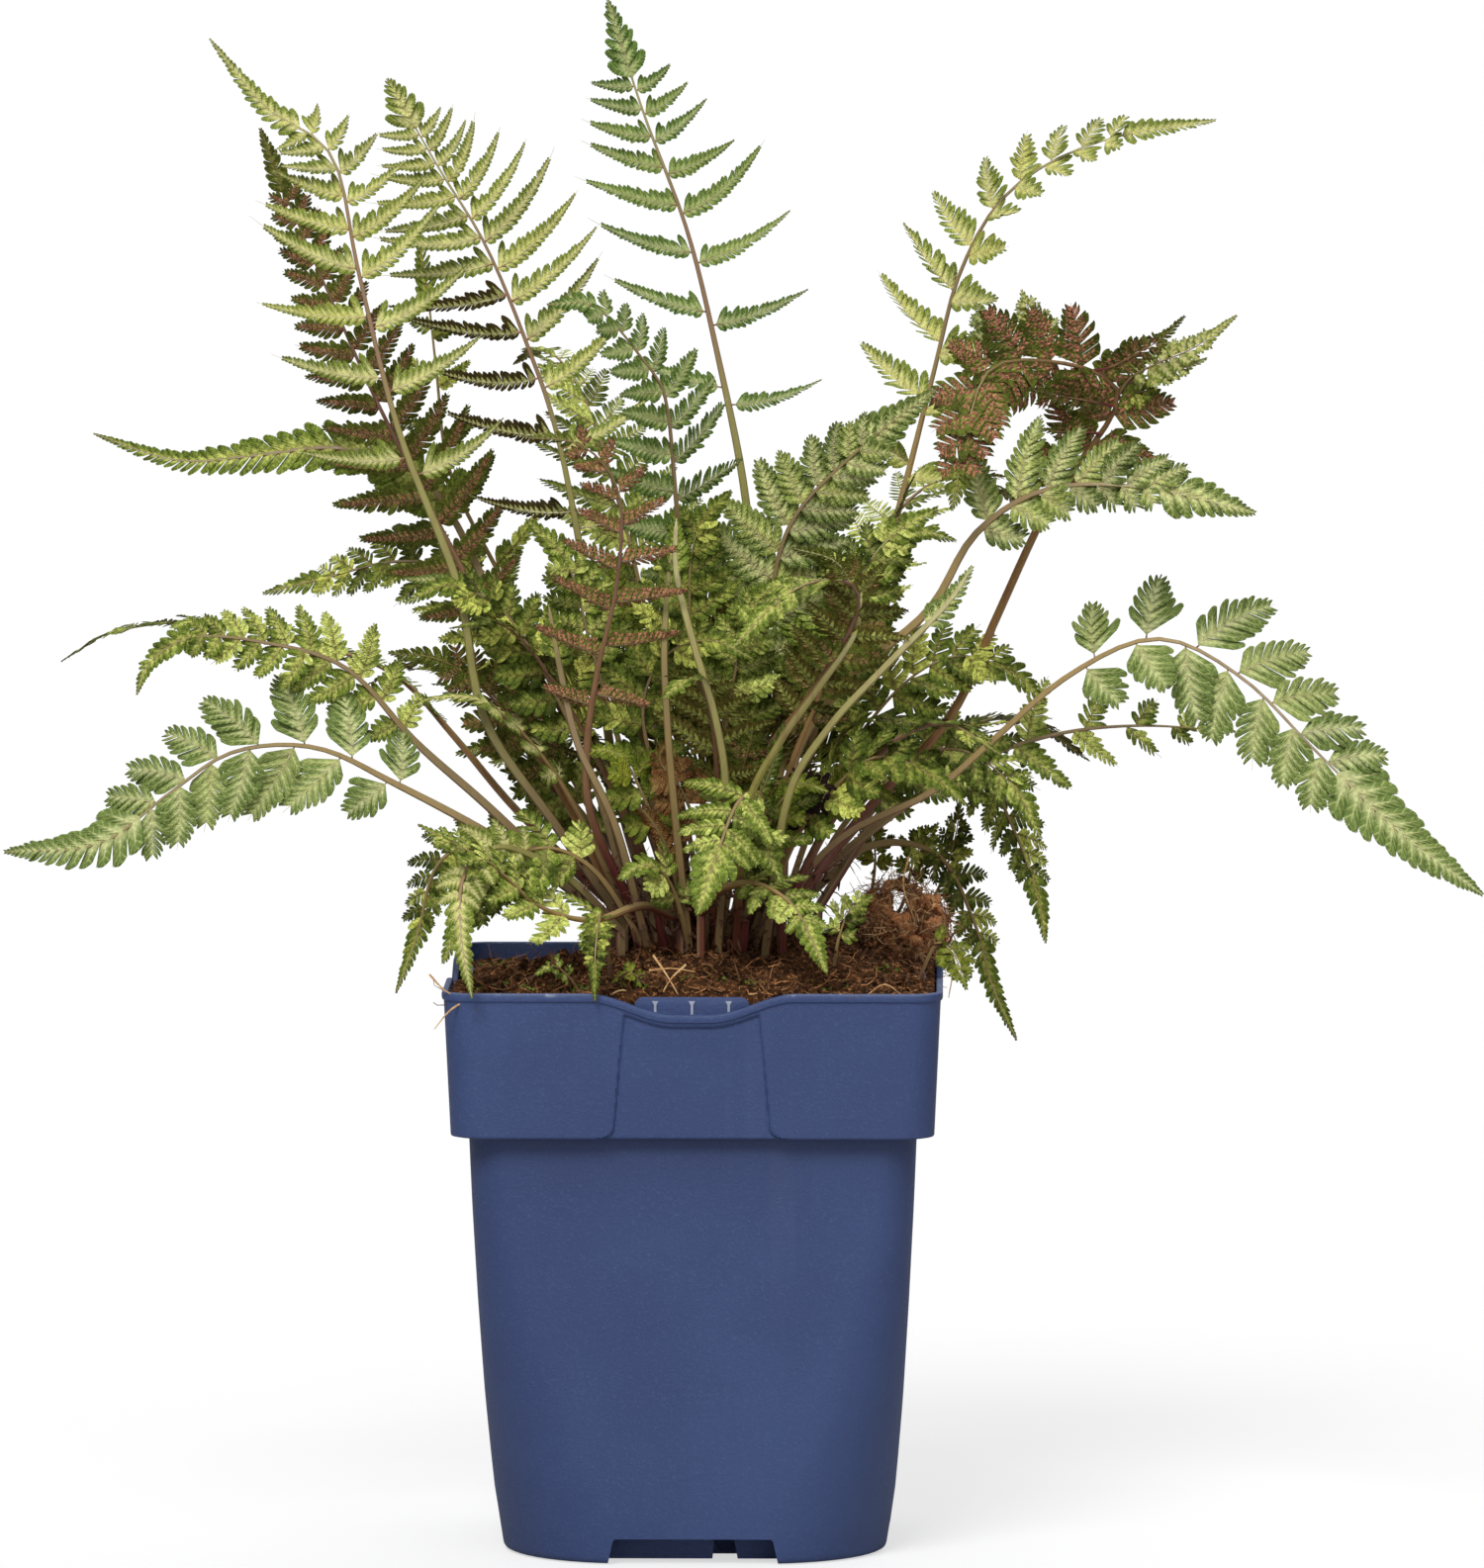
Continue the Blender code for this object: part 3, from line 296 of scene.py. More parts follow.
leafTones = {
    "pale": {"silver": rgb(236, 236, 196), "pale": rgb(214, 218, 154), "green": rgb(138, 156, 76),
        "deep": rgb(96, 116, 48), "vein": rgb(206, 210, 150), "midrib": rgb(236, 234, 188),
        "wine": rgb(126, 84, 66), "blush": 0.15, "under": rgb(96, 88, 54), "underDeep": rgb(60, 48, 32),
        "edge": 0.46, "dry": 0.12, "dark": rgb(150, 152, 120), "wash": (1.28, 1.24, 0.82, 1),
        "bright": rgb(196, 196, 120), "fresh": 0.2},
    "tall": {"silver": rgb(224, 230, 190), "pale": rgb(196, 206, 150), "green": rgb(116, 142, 74),
        "deep": rgb(80, 106, 48), "vein": rgb(184, 196, 142), "midrib": rgb(214, 216, 168),
        "wine": rgb(112, 78, 60), "blush": 0.3, "under": rgb(120, 122, 76), "underDeep": rgb(84, 80, 48),
        "edge": 0.42, "dry": 0.1, "dark": rgb(150, 152, 120), "wash": (1.02, 1.1, 0.76, 1),
        "bright": rgb(190, 196, 120), "fresh": 0.2},
    "green": {"silver": rgb(206, 212, 146), "pale": rgb(184, 194, 118), "green": rgb(120, 140, 62),
        "deep": rgb(80, 100, 42), "vein": rgb(160, 170, 104), "midrib": rgb(168, 170, 112), "wine": rgb(92, 58, 44),
        "blush": 0.4, "under": rgb(124, 120, 70), "underDeep": rgb(96, 80, 48), "edge": 0.4, "dry": 0.3,
        "dark": rgb(130, 132, 100), "wash": (1.62, 1.6, 1.02, 1), "bright": rgb(210, 220, 146), "fresh": 0.85,
        "depth": 0.75, "grain": 0.8},
    "silver": {"silver": rgb(224, 228, 188), "pale": rgb(196, 204, 144), "green": rgb(122, 140, 76),
        "deep": rgb(80, 100, 48), "vein": rgb(196, 202, 156), "midrib": rgb(222, 220, 174),
        "wine": rgb(108, 66, 56), "blush": 0.4, "under": rgb(120, 116, 78), "underDeep": rgb(90, 78, 52),
        "edge": 0.44, "dry": 0.15, "dark": rgb(150, 152, 124), "wash": (1.42, 1.42, 1.02, 1),
        "bright": rgb(176, 186, 104), "fresh": 0.3, "depth": 0.45, "grain": 0.6},
    "dark": {"silver": rgb(172, 180, 108), "pale": rgb(148, 160, 86), "green": rgb(102, 120, 52),
        "deep": rgb(68, 86, 36), "vein": rgb(120, 130, 74), "midrib": rgb(116, 108, 62), "wine": rgb(76, 46, 34),
        "blush": 0.5, "under": rgb(100, 92, 54), "underDeep": rgb(78, 60, 38), "edge": 0.4, "dry": 0.4,
        "dark": rgb(120, 118, 92), "wash": (1.78, 1.74, 1.1, 1), "bright": rgb(206, 214, 130), "fresh": 0.8,
        "depth": 0.8, "grain": 0.8},
    "fertile": {"silver": rgb(176, 184, 116), "pale": rgb(156, 166, 96), "green": rgb(106, 122, 54),
        "deep": rgb(78, 94, 38), "vein": rgb(146, 150, 94), "midrib": rgb(130, 114, 72), "wine": rgb(84, 50, 34),
        "blush": 0.4, "under": rgb(122, 130, 66), "underDeep": rgb(96, 104, 50), "edge": 0.45, "dry": 0.3,
        "dark": rgb(130, 128, 100), "wash": (1.2, 1.22, 0.74, 1), "bright": rgb(150, 160, 78), "fresh": 0.4,
        "depth": 0.5, "grain": 0.7},
    "young": {"silver": rgb(214, 216, 124), "pale": rgb(196, 204, 102), "green": rgb(152, 166, 68),
        "deep": rgb(114, 130, 50), "vein": rgb(198, 198, 112), "midrib": rgb(176, 168, 92),
        "wine": rgb(124, 88, 46), "blush": 0.2, "under": rgb(160, 158, 78), "underDeep": rgb(134, 128, 56),
        "edge": 0.45, "dry": 0.3, "dark": rgb(150, 152, 110), "wash": (0.78, 0.84, 0.5, 1),
        "bright": rgb(196, 196, 80), "fresh": 0.7, "depth": 0.4, "grain": 0.7},
    "mottled": {"silver": rgb(232, 236, 204), "pale": rgb(198, 208, 156), "green": rgb(132, 152, 92),
        "deep": rgb(92, 112, 62), "vein": rgb(190, 198, 150), "midrib": rgb(236, 234, 194),
        "wine": rgb(112, 70, 58), "blush": 0.25, "under": rgb(150, 156, 104), "underDeep": rgb(120, 120, 74),
        "edge": 0.36, "dry": 0.1, "dark": rgb(150, 152, 120), "wash": (1.2, 1.22, 0.86, 1),
        "bright": rgb(196, 204, 146), "fresh": 0.3},
    "dry": {"silver": rgb(196, 156, 104), "pale": rgb(170, 124, 76), "green": rgb(138, 90, 50),
        "deep": rgb(96, 58, 32), "vein": rgb(206, 170, 120), "midrib": rgb(112, 72, 44), "wine": rgb(92, 52, 34),
        "blush": 0.5, "under": rgb(160, 116, 72), "underDeep": rgb(120, 78, 46), "edge": 0.5, "dry": 0.6,
        "dark": rgb(120, 100, 80), "wash": (1, 0.95, 0.8, 1), "bright": rgb(206, 180, 120), "fresh": 0.5},
    "black": {"silver": rgb(70, 48, 42), "pale": rgb(54, 38, 34), "green": rgb(40, 28, 26), "deep": rgb(28, 20, 18),
        "vein": rgb(76, 56, 48), "midrib": rgb(46, 30, 26), "wine": rgb(44, 26, 24), "blush": 0.5,
        "under": rgb(52, 36, 32), "underDeep": rgb(34, 24, 22), "edge": 0.5, "dry": 0.2, "dark": rgb(120, 110, 100),
        "wash": (0.9, 0.85, 0.8, 1), "bright": rgb(84, 60, 50), "fresh": 0.4},
}
leafPaints = {look: leafPaint(look + "Leaf", tones) for look, tones in leafTones.items()}


def stipePaint(name, foot, low, high, tip):
    paint = Paint(name, Roughness=0.42)
    along, around, _ = paint.split(paint.data("stipeMap"))
    color = paint.mix(along.ease(0.12, 0.32), foot, low)
    color = paint.mix(along.ease(0.52, 0.66), color, high)
    color = paint.mix(along.ease(0.74, 0.92), color, tip)
    streak = paint.noise(420, 3, 0.6, paint.place.stretch((1, 1, 0.12)))
    color = paint.mix(streak.ease(0.4, 0.8) * 0.5, color, foot)
    color = paint.mix(around.ease(0.5, 0.9) * 0.35, color, rgb(190, 182, 122))
    paint.put("Base Color", color)
    paint.put("Roughness", streak.ease(0.2, 0.8, 0.34, 0.6))
    paint.bump(streak, 0.00015, 0.6)
    return paint


# from the foot to the tip
stipeTones = {
    "yellow": (rgb(110, 60, 48), rgb(158, 152, 74), rgb(148, 90, 82), rgb(190, 184, 128)),
    "tan": (rgb(124, 70, 54), rgb(176, 136, 84), rgb(140, 102, 76), rgb(196, 198, 140)),
    "red": (rgb(112, 54, 48), rgb(150, 112, 76), rgb(142, 104, 84), rgb(140, 122, 70)),
    "olive": (rgb(116, 66, 48), rgb(160, 152, 78), rgb(168, 156, 92), rgb(196, 190, 130)),
    "brown": (rgb(118, 66, 48), rgb(160, 120, 70), rgb(136, 104, 62), rgb(146, 138, 74)),
}
stipePaints = {name: stipePaint(name + "Stipe", *tones) for name, tones in stipeTones.items()}


def ribPaint(name, base, far):
    paint = Paint(name, Roughness=0.45)
    along = paint.split(paint.data("stipeMap"))[0]
    color = paint.mix(along.ease(0.0, 0.16), base, far)
    paint.put("Base Color", paint.mix(paint.noise(700) * 0.3, color, base))
    paint.bump(paint.noise(1500, 2), 0.0001, 0.5)
    return paint


ribTones = {
    "pale": (rgb(150, 96, 82), rgb(222, 220, 166)), "tall": (rgb(140, 92, 78), rgb(196, 200, 146)),
    "green": (rgb(92, 60, 48), rgb(128, 132, 78)), "young": (rgb(130, 100, 60), rgb(188, 184, 104)),
    "silver": (rgb(120, 80, 72), rgb(204, 206, 160)), "dark": (rgb(72, 46, 36), rgb(98, 96, 56)),
    "fertile": (rgb(88, 52, 42), rgb(128, 110, 66)), "mottled": (rgb(130, 84, 72), rgb(212, 214, 162)),
    "dry": (rgb(84, 52, 34), rgb(140, 96, 60)), "black": (rgb(40, 26, 22), rgb(62, 44, 36)),
}
ribPaints = {look: ribPaint(look + "Rib", *tones) for look, tones in ribTones.items()}
sorusPaint = Paint("sorus", Roughness=0.75)
sorusPaint.put("Base Color", sorusPaint.mix(sorusPaint.noise(900).ease(0.35, 0.65), rgb(116, 68, 48),
                                            rgb(216, 148, 114)))
sorusPaint.bump(sorusPaint.noise(1500, 2), 0.0005, 0.9)
scalePaint = Paint("brownScale", Roughness=0.6)
scalePaint.put("Base Color", scalePaint.mix(scalePaint.noise(500), rgb(58, 34, 22), rgb(112, 70, 42)))
print("leaf paints done")

spacing = {"roots": 7.4, "spines": 4.6, "samples": 41}
toCamera = (0, -1, 0.3)
fromCamera = (0, 1, 0.15)
# what a frond has unless its own entry says otherwise
usual = {
    "upper": None, "extra": False,  # the way its upper side faces, or None; whether it stands for no node
    "forward": (16, 46), "aside": 0, "turned": 0, "twist": 12, "loose": 9, "lift": 5,  # the leaflets' angles
    "curve": 0.16, "droop": 0.10, "stalk": 0.0, "taper": 1.3, "point": 0.85, "cup": 6, "bend": 0.12,  # their shape
    "sides": (1, 1), "first": 0.66, "narrows": (1.02, 0.80), "fall": 0.95, "full": 1.15,  # their lengths and width
    "steps": None, "close": 1.25, "switch": 7.5, "whip": 1.05,  # their spacing; where the tip starts, its outline
    "gap": 1.0, "web": 0.64, "teeth": 5, "slants": (26, 46), "fan": 3, "ear": 1.3, "lower": 0.9,  # the lobes
    "thick": 1.2, "shade": 0.0, "rows": (0.16, 0.38), "swell": 1.0,  # the stipe, the colour and the sori
}
fronds = {
    "tall_left": {"line": ((-25, -8, 216), (-49, -16, 252), (-73, -22, 289), (-82, -27, 336), (-102, -31, 389),
        (-116, -31, 445), (-125, -30, 485), (-147, -28, 500), (-167, -25, 524)), "upper": toCamera, "start": 0.50,
        "length": 38, "first": 0.9, "narrows": (0.84, 0.44), "close": 1.9, "steps": (31, 5), "whip": 0.8,
        "width": 11.5, "taper": 1.2, "point": 1.15, "stalk": 2.2, "forward": (4, 20), "aside": -5, "twist": 24,
        "curve": 0.34, "ear": 1.7, "lower": 0.62, "look": "pale", "stipe": "yellow"},
    "left_fertile": {"line": ((-19, 8, 216), (-40, 16, 243), (-61, 24, 281), (-73, 30, 317), (-95, 36, 360),
        (-114, 38, 398), (-129, 38, 432), (-144, 36, 467), (-153, 34, 491)), "upper": fromCamera, "start": 0.40,
        "length": 32, "steps": (15, 6), "width": 11, "forward": (14, 44), "twist": 20, "web": 0.74, "gap": 1.1,
        "rows": (0.14, 0.34), "swell": 1.15, "look": "fertile", "stipe": "red"},
    "second_tall": {"line": ((-15, 16, 216), (-28, 20, 260), (-36, 23, 315), (-48, 21, 381), (-60, 19, 418),
        (-74, 15, 452), (-89, 11, 477), (-107, 5, 509)), "upper": toCamera, "start": 0.44, "length": 39,
        "first": 0.8, "narrows": (1.0, 0.42), "close": 1.7, "steps": (29, 4.5), "switch": 11, "whip": 1.1,
        "width": 10.5, "point": 1.15, "stalk": 2.0, "forward": (2, 14), "aside": -2, "turned": 130, "twist": 26,
        "curve": 0.38, "ear": 1.7, "lower": 0.6, "look": "pale", "stipe": "yellow"},
    "centre_tall": {"line": ((1, 24, 217), (10, 34, 272), (18, 39, 328), (16, 40, 365), (6, 39, 415), (-4, 35, 456),
        (-19, 28, 497), (-31, 20, 536)), "upper": toCamera, "start": 0.54, "length": 36, "first": 0.95,
        "narrows": (0.97, 0.52), "close": 1.35, "steps": (29, 4.6), "switch": 12, "whip": 0.95, "width": 9.5,
        "point": 1.1, "stalk": 2.0, "forward": (9, 10), "aside": -14, "twist": 34, "loose": 5, "curve": 0.3,
        "ear": 1.5, "lower": 0.7, "look": "tall", "stipe": "yellow"},
    "arched_mid": {"line": ((3, 5, 217), (8, 8, 268), (0, 4, 318), (-6, -5, 355), (-10, -20, 399), (-18, -28, 414),
        (-34, -40, 433), (-50, -50, 434)), "upper": (0.5, -1, 0.4), "start": 0.46, "length": 30, "steps": (17, 7),
        "width": 11, "look": "tall", "coat": "green_leaf", "stipe": "red"},
    "right_top": {"line": ((14, 30, 217), (33, 35, 258), (54, 37, 303), (69, 37, 353), (82, 34, 404), (92, 30, 442),
        (109, 25, 470), (139, 19, 487), (180, 10, 495)), "upper": (-0.4, -1, 0.5), "start": 0.46, "length": 36,
        "sides": (0.66, 1.0), "narrows": (0.98, 0.85), "steps": (24, 8), "width": 17, "full": 1.5, "point": 1.0,
        "forward": (8, 44), "twist": 40, "loose": 24, "curve": 0.25, "cup": 24, "lower": 0.7, "look": "pale",
        "coat": "green_leaf", "stipe": "tan"},
    "right_curl": {"line": ((34, 12, 221), (56, 15, 250), (88, 14, 286), (105, 10, 323), (123, 3, 362),
        (146, -8, 397), (136, -14, 410), (105, -25, 413), (96, -33, 398), (89, -50, 364)), "upper": fromCamera,
        "start": 0.54, "length": 21, "first": 1.0, "narrows": (1.06, 0.5), "steps": (15, 8), "width": 17,
        "full": 1.8, "forward": (14, 40), "web": 0.9, "gap": 1.1, "fan": 1.5, "rows": (0.16, 0.4, 0.62),
        "swell": 1.55, "look": "fertile", "stipe": "brown"},
    "right_light": {"line": ((29, -4, 220), (34, -11, 273), (54, -17, 303), (81, -24, 327), (97, -30, 354),
        (122, -37, 370), (156, -45, 371), (193, -55, 363)), "upper": toCamera, "start": 0.61, "length": 30,
        "sides": (0.5, 1.0), "first": 0.9, "narrows": (1.02, 0.9), "step": 10.5, "switch": 14, "width": 13,
        "full": 1.3, "taper": 1.6, "forward": (26, 52), "web": 0.74, "gap": 1.1, "slants": (32, 54), "fan": 1.5,
        "look": "silver", "stipe": "tan"},
    "right_big": {"line": ((24, 0, 218), (51, 0, 246), (81, -2, 261), (102, -5, 279), (129, -11, 303),
        (160, -18, 317), (189, -26, 304), (215, -38, 279), (243, -54, 253), (271, -70, 233)), "upper": toCamera,
        "start": 0.44, "length": 29, "fall": 0.8, "steps": (20, 10), "switch": 16, "width": 17, "full": 1.3,
        "taper": 1.7, "stalk": 1.6, "forward": (12, 46), "twist": 6, "loose": 7, "web": 0.82, "gap": 1.2,
        "slants": (36, 50), "fan": 1.2, "teeth": 5, "look": "mottled", "stipe": "tan", "thick": 0.95},
    "right_low": {"line": ((30, 16, 221), (61, 22, 246), (92, 28, 267), (123, 36, 278), (154, 44, 281),
        (189, 55, 278)), "upper": (0.1, -1, 0.7), "start": 0.40, "length": 25, "steps": (26, 13), "width": 12,
        "web": 0.6, "gap": 1.2, "look": "green", "stipe": "red"},
    "right_drop": {"line": ((33, 30, 219), (57, 41, 247), (81, 45, 270), (97, 45, 270), (111, 42, 244),
        (119, 36, 222), (122, 30, 206)), "upper": (0.5, -1, 0.3), "start": 0.40, "length": 20, "step": 9,
        "width": 10, "look": "dark", "stipe": "brown"},
    "right_rim": {"line": ((38, 38, 221), (60, 58, 237), (84, 68, 233), (97, 68, 209), (103, 62, 188),
        (112, 50, 169)), "upper": (0.5, -1, 0.3), "start": 0.36, "length": 12, "step": 8, "width": 10, "web": 0.6,
        "look": "dark", "coat": "green_leaf", "stipe": "brown"},
    "left_low": {"line": ((-30, -14, 219), (-67, -22, 246), (-104, -29, 267), (-131, -35, 280), (-159, -41, 279),
        (-181, -46, 265), (-205, -53, 248), (-237, -60, 246)), "upper": toCamera, "start": 0.36, "length": 28,
        "fall": 0.8, "steps": (19, 9), "switch": 15, "width": 16, "full": 1.3, "taper": 1.7, "stalk": 1.4,
        "forward": (14, 48), "twist": 8, "loose": 7, "web": 0.82, "gap": 1.2, "slants": (36, 50), "fan": 1.2,
        "teeth": 5, "look": "mottled", "stipe": "brown"},
    "left_mid": {"line": ((-27, 4, 220), (-62, 4, 254), (-84, 4, 280), (-105, 5, 302), (-132, 6, 312),
        (-166, 7, 320), (-202, 9, 317), (-222, 10, 306)), "start": 0.38, "length": 27, "step": 12, "width": 12,
        "look": "green", "stipe": "brown"},
    "left_mid_low": {"line": ((-34, -4, 219), (-70, -9, 255), (-97, -16, 280), (-121, -26, 307), (-151, -37, 317),
        (-174, -47, 319), (-187, -55, 311), (-191, -60, 301)), "upper": toCamera, "start": 0.44, "length": 20,
        "step": 10, "width": 11, "look": "green", "stipe": "red"},
    "left_needle": {"line": ((-23, 22, 220), (-50, 28, 252), (-64, 34, 293), (-75, 40, 331), (-96, 45, 367),
        (-126, 50, 378), (-157, 54, 375), (-184, 58, 373), (-213, 62, 382)), "upper": (0, -1, 0.35), "start": 0.52,
        "length": 19, "first": 1.0, "step": 6.5, "switch": 20, "whip": 0.85, "width": 6, "forward": (10, 30),
        "web": 0.7, "gap": 1.15, "look": "green", "coat": "silver_leaf", "stipe": "red"},
    "back_left": {"line": ((-11, 34, 217), (-41, 49, 278), (-69, 60, 330), (-88, 66, 368), (-93, 70, 404),
        (-96, 73, 430), (-100, 75, 456)), "upper": (-0.5, -1, 0.2), "start": 0.40, "length": 28, "steps": (30, 12),
        "width": 9, "full": 0.6, "forward": (2, 30), "look": "dark", "stipe": "red"},
    "centre_fertile": {"line": ((-20, -16, 218), (-35, -34, 254), (-37, -43, 279), (-33, -53, 308), (-26, -62, 339),
        (-25, -69, 370), (-37, -73, 387), (-56, -75, 390)), "upper": fromCamera, "start": 0.42, "length": 29,
        "steps": (19, 8), "width": 11, "full": 0.85, "forward": (4, 36), "cup": 44, "rows": (0.16, 0.4, 0.64),
        "swell": 1.4, "look": "fertile", "stipe": "red", "thick": 1.15},
    "front_drop": {"line": ((14, -6, 218), (23, -30, 247), (23, -43, 265), (15, -49, 262), (7, -67, 242),
        (2, -80, 227)), "upper": (0, -1, 0.6), "start": 0.34, "length": 26, "step": 8, "switch": 14, "width": 10,
        "forward": (6, 30), "web": 0.8, "gap": 1.05, "look": "green", "coat": "pale_leaf", "stipe": "brown"},
    "front_left": {"line": ((-4, -22, 219), (-18, -33, 225), (-35, -44, 221), (-53, -55, 227), (-70, -66, 243),
        (-94, -75, 257)), "upper": (0, -0.8, 1), "start": 0.30, "length": 25, "step": 11, "switch": 6, "width": 11,
        "forward": (30, 50), "web": 0.35, "gap": 1.5, "look": "green", "stipe": "brown"},
    "front_right": {"line": ((1, -24, 221), (9, -36, 231), (22, -47, 234), (34, -59, 228), (41, -70, 217),
        (46, -80, 207)), "upper": (0, -0.8, 1), "start": 0.34, "length": 14, "step": 7, "width": 8, "look": "green",
        "stipe": "brown"},
    "rim_left": {"line": ((-30, 12, 221), (-50, 10, 238), (-71, 7, 246), (-90, 1, 236), (-97, -6, 212),
        (-104, -15, 193)), "upper": (-0.6, -1, 0.3), "start": 0.38, "length": 13, "step": 7, "width": 8,
        "look": "dark", "stipe": "brown"},
    "rim_light": {"line": ((-26, -18, 215), (-45, -37, 236), (-66, -58, 248), (-78, -74, 240), (-79, -88, 222),
        (-75, -95, 200)), "upper": (0, -1, 0.3), "start": 0.40, "length": 13, "step": 7, "width": 8, "look": "pale",
        "stipe": "yellow"},
    "centre_right": {"line": ((19, -2, 220), (25, -28, 275), (38, -40, 296), (55, -57, 325), (55, -64, 339),
        (40, -71, 340), (27, -80, 332), (14, -90, 319)), "start": 0.42, "length": 23, "step": 10, "width": 11,
        "look": "green", "stipe": "red"},
    "silver_mid": {"line": ((14, 8, 219), (20, 5, 275), (25, -3, 324), (33, -10, 356), (54, -20, 380),
        (83, -35, 404)), "upper": (0.2, -1, 0.4), "start": 0.42, "length": 29, "step": 10.5, "switch": 11,
        "width": 15, "full": 1.4, "taper": 1.8, "forward": (20, 48), "web": 0.76, "gap": 1.15, "fan": 1.5,
        "look": "silver", "stipe": "red"},
    "back_dark": {"line": ((-18, 28, 219), (-47, 36, 269), (-68, 42, 310), (-86, 47, 334), (-107, 51, 338),
        (-131, 56, 332), (-154, 60, 326)), "upper": (0, -1, 0.7), "start": 0.44, "length": 24, "step": 11,
        "width": 11, "web": 0.6, "look": "dark", "stipe": "red"},
    "back_high": {"line": ((-3, 42, 217), (-12, 62, 280), (-26, 84, 345), (-42, 108, 392), (-56, 130, 408),
        (-68, 148, 402)), "start": 0.40, "length": 35, "step": 13, "width": 13, "look": "green", "stipe": "red"},
    "back_right": {"line": ((22, 46, 217), (34, 62, 270), (52, 84, 325), (76, 108, 358), (98, 128, 362),
        (118, 144, 348)), "start": 0.40, "length": 33, "step": 13, "width": 13, "look": "green", "stipe": "red"},
    "back_low": {"line": ((8, 50, 216), (10, 76, 252), (12, 106, 282), (12, 134, 290), (10, 158, 280)),
        "start": 0.34, "length": 27, "step": 12, "width": 12, "look": "dark", "stipe": "brown"},
    "back_corner": {"line": ((-26, 44, 216), (-48, 66, 256), (-74, 90, 288), (-98, 112, 298), (-120, 130, 288)),
        "start": 0.34, "length": 27, "step": 12, "width": 12, "look": "green", "stipe": "brown"},
    "back_side": {"line": ((42, 26, 218), (66, 52, 252), (92, 76, 276), (116, 98, 278), (138, 116, 262)),
        "start": 0.34, "length": 26, "step": 12, "width": 12, "look": "dark", "stipe": "brown"},
    "mid_left": {"line": ((-12, -4, 219), (-28, -12, 262), (-48, -20, 300), (-66, -30, 322), (-84, -42, 322)),
        "start": 0.40, "length": 27, "step": 11, "width": 12, "look": "dark", "stipe": "red"},
    "mid_front": {"line": ((6, -14, 219), (8, -24, 256), (6, -38, 290), (0, -54, 306), (-10, -70, 300)),
        "start": 0.40, "length": 25, "step": 11, "width": 12, "look": "green", "stipe": "red"},
    "mid_right": {"line": ((30, -16, 219), (46, -26, 252), (66, -38, 280), (86, -50, 290), (106, -62, 280)),
        "start": 0.6, "length": 20, "step": 11, "width": 12, "look": "dark", "stipe": "red"},
    "mid_high": {"line": ((13, 19, 218), (30, 27, 270), (47, 26, 316), (64, 18, 346), (76, 8, 372)), "start": 0.42,
        "length": 27, "step": 11, "width": 12, "look": "dark", "coat": "green_leaf", "stipe": "red"},
}
# hills: middle, rise, spread
soilShape = {"level": 196.5, "sunk": 15.0,
             "hills": (((4.0, 6.0), 13.0, 44.0), ((67.0, 50.0), 24.0, 14.0), ((-56.0, 54.0), -12.0, 20.0))}


def soilHeight(x, y):
    height = soilShape["level"]
    for (cx, cy), rise, spread in soilShape["hills"]:
        height += rise * math.exp(-((x - cx) ** 2 + (y - cy) ** 2) / (2 * spread ** 2))
    height += 0.9 * math.sin(x * 0.31 + 1.2) * math.cos(y * 0.27)
    return height + 0.6 * math.sin(x * 0.13 - y * 0.41) + 0.5 * math.cos(x * 0.53 + y * 0.19)


def evenLine(fine, samples):
    run = np.concatenate([[0], np.cumsum(np.linalg.norm(np.diff(fine, axis=0), axis=1))])
    even = np.linspace(0, run[-1], samples)
    return np.stack([np.interp(even, run, fine[:, axis]) for axis in range(3)], axis=1)


def smoothLine(points, samples):
    # a curve through all the points
    points = [np.array(point, float) for point in points]
    ends = [2 * points[0] - points[1]] + list(points) + [2 * points[-1] - points[-2]]
    fine = []
    for a, b, c, d in zip(ends, ends[1:], ends[2:], ends[3:]):
        for step in range(12):
            t = step / 12
            fine.append(0.5 * (2 * b + (c - a) * t + (2 * a - 5 * b + 4 * c - d) * t ** 2
                               + (3 * b - a - 3 * c + d) * t ** 3))
    fine.append(points[-1])
    return evenLine(np.array(fine), samples)


def spreadRoots(lines):
    # moves the feet of the stipes apart where they would cross in the soil
    roots = np.array([line[0][:2] for line in lines])
    for _ in range(200):
        gap = roots[:, None] - roots[None]
        far = np.linalg.norm(gap, axis=2) + np.eye(len(roots)) * 99
        push = np.where(far < spacing["roots"], (spacing["roots"] - far) * 0.25, 0)
        roots += (gap / far[..., None] * push[..., None]).sum(axis=1)
    for line, root in zip(lines, roots):
        line[0][:2] = root


def spreadSpines(spines):
    # pushes neighbouring stipes apart, mostly in depth
    count, samples, _ = spines.shape
    owner = np.repeat(np.arange(count), samples)
    ramp = np.clip(np.linspace(0, 1, samples) * 24, 0, 1)
    other = owner[:, None] != owner[None]
    for _ in range(70):
        flat = spines.reshape(-1, 3)
        gap = flat[:, None] - flat[None]
        far = np.linalg.norm(gap, axis=2)
        near = (far < spacing["spines"]) & other
        for axis, ease in ((0, 0.3), (1, 1.0)):
            way = np.where(gap[..., axis] >= 0, ease, -ease)
            push = np.where(near, (spacing["spines"] - far) * 0.5 * way, 0).sum(axis=1)
            push = push.reshape(count, samples)
            soft = (np.roll(push, 1, 1) + 2 * push + np.roll(push, -1, 1)) / 3
            spines[..., axis] += np.clip(soft, -1.2, 1.2) * ramp
    return spines


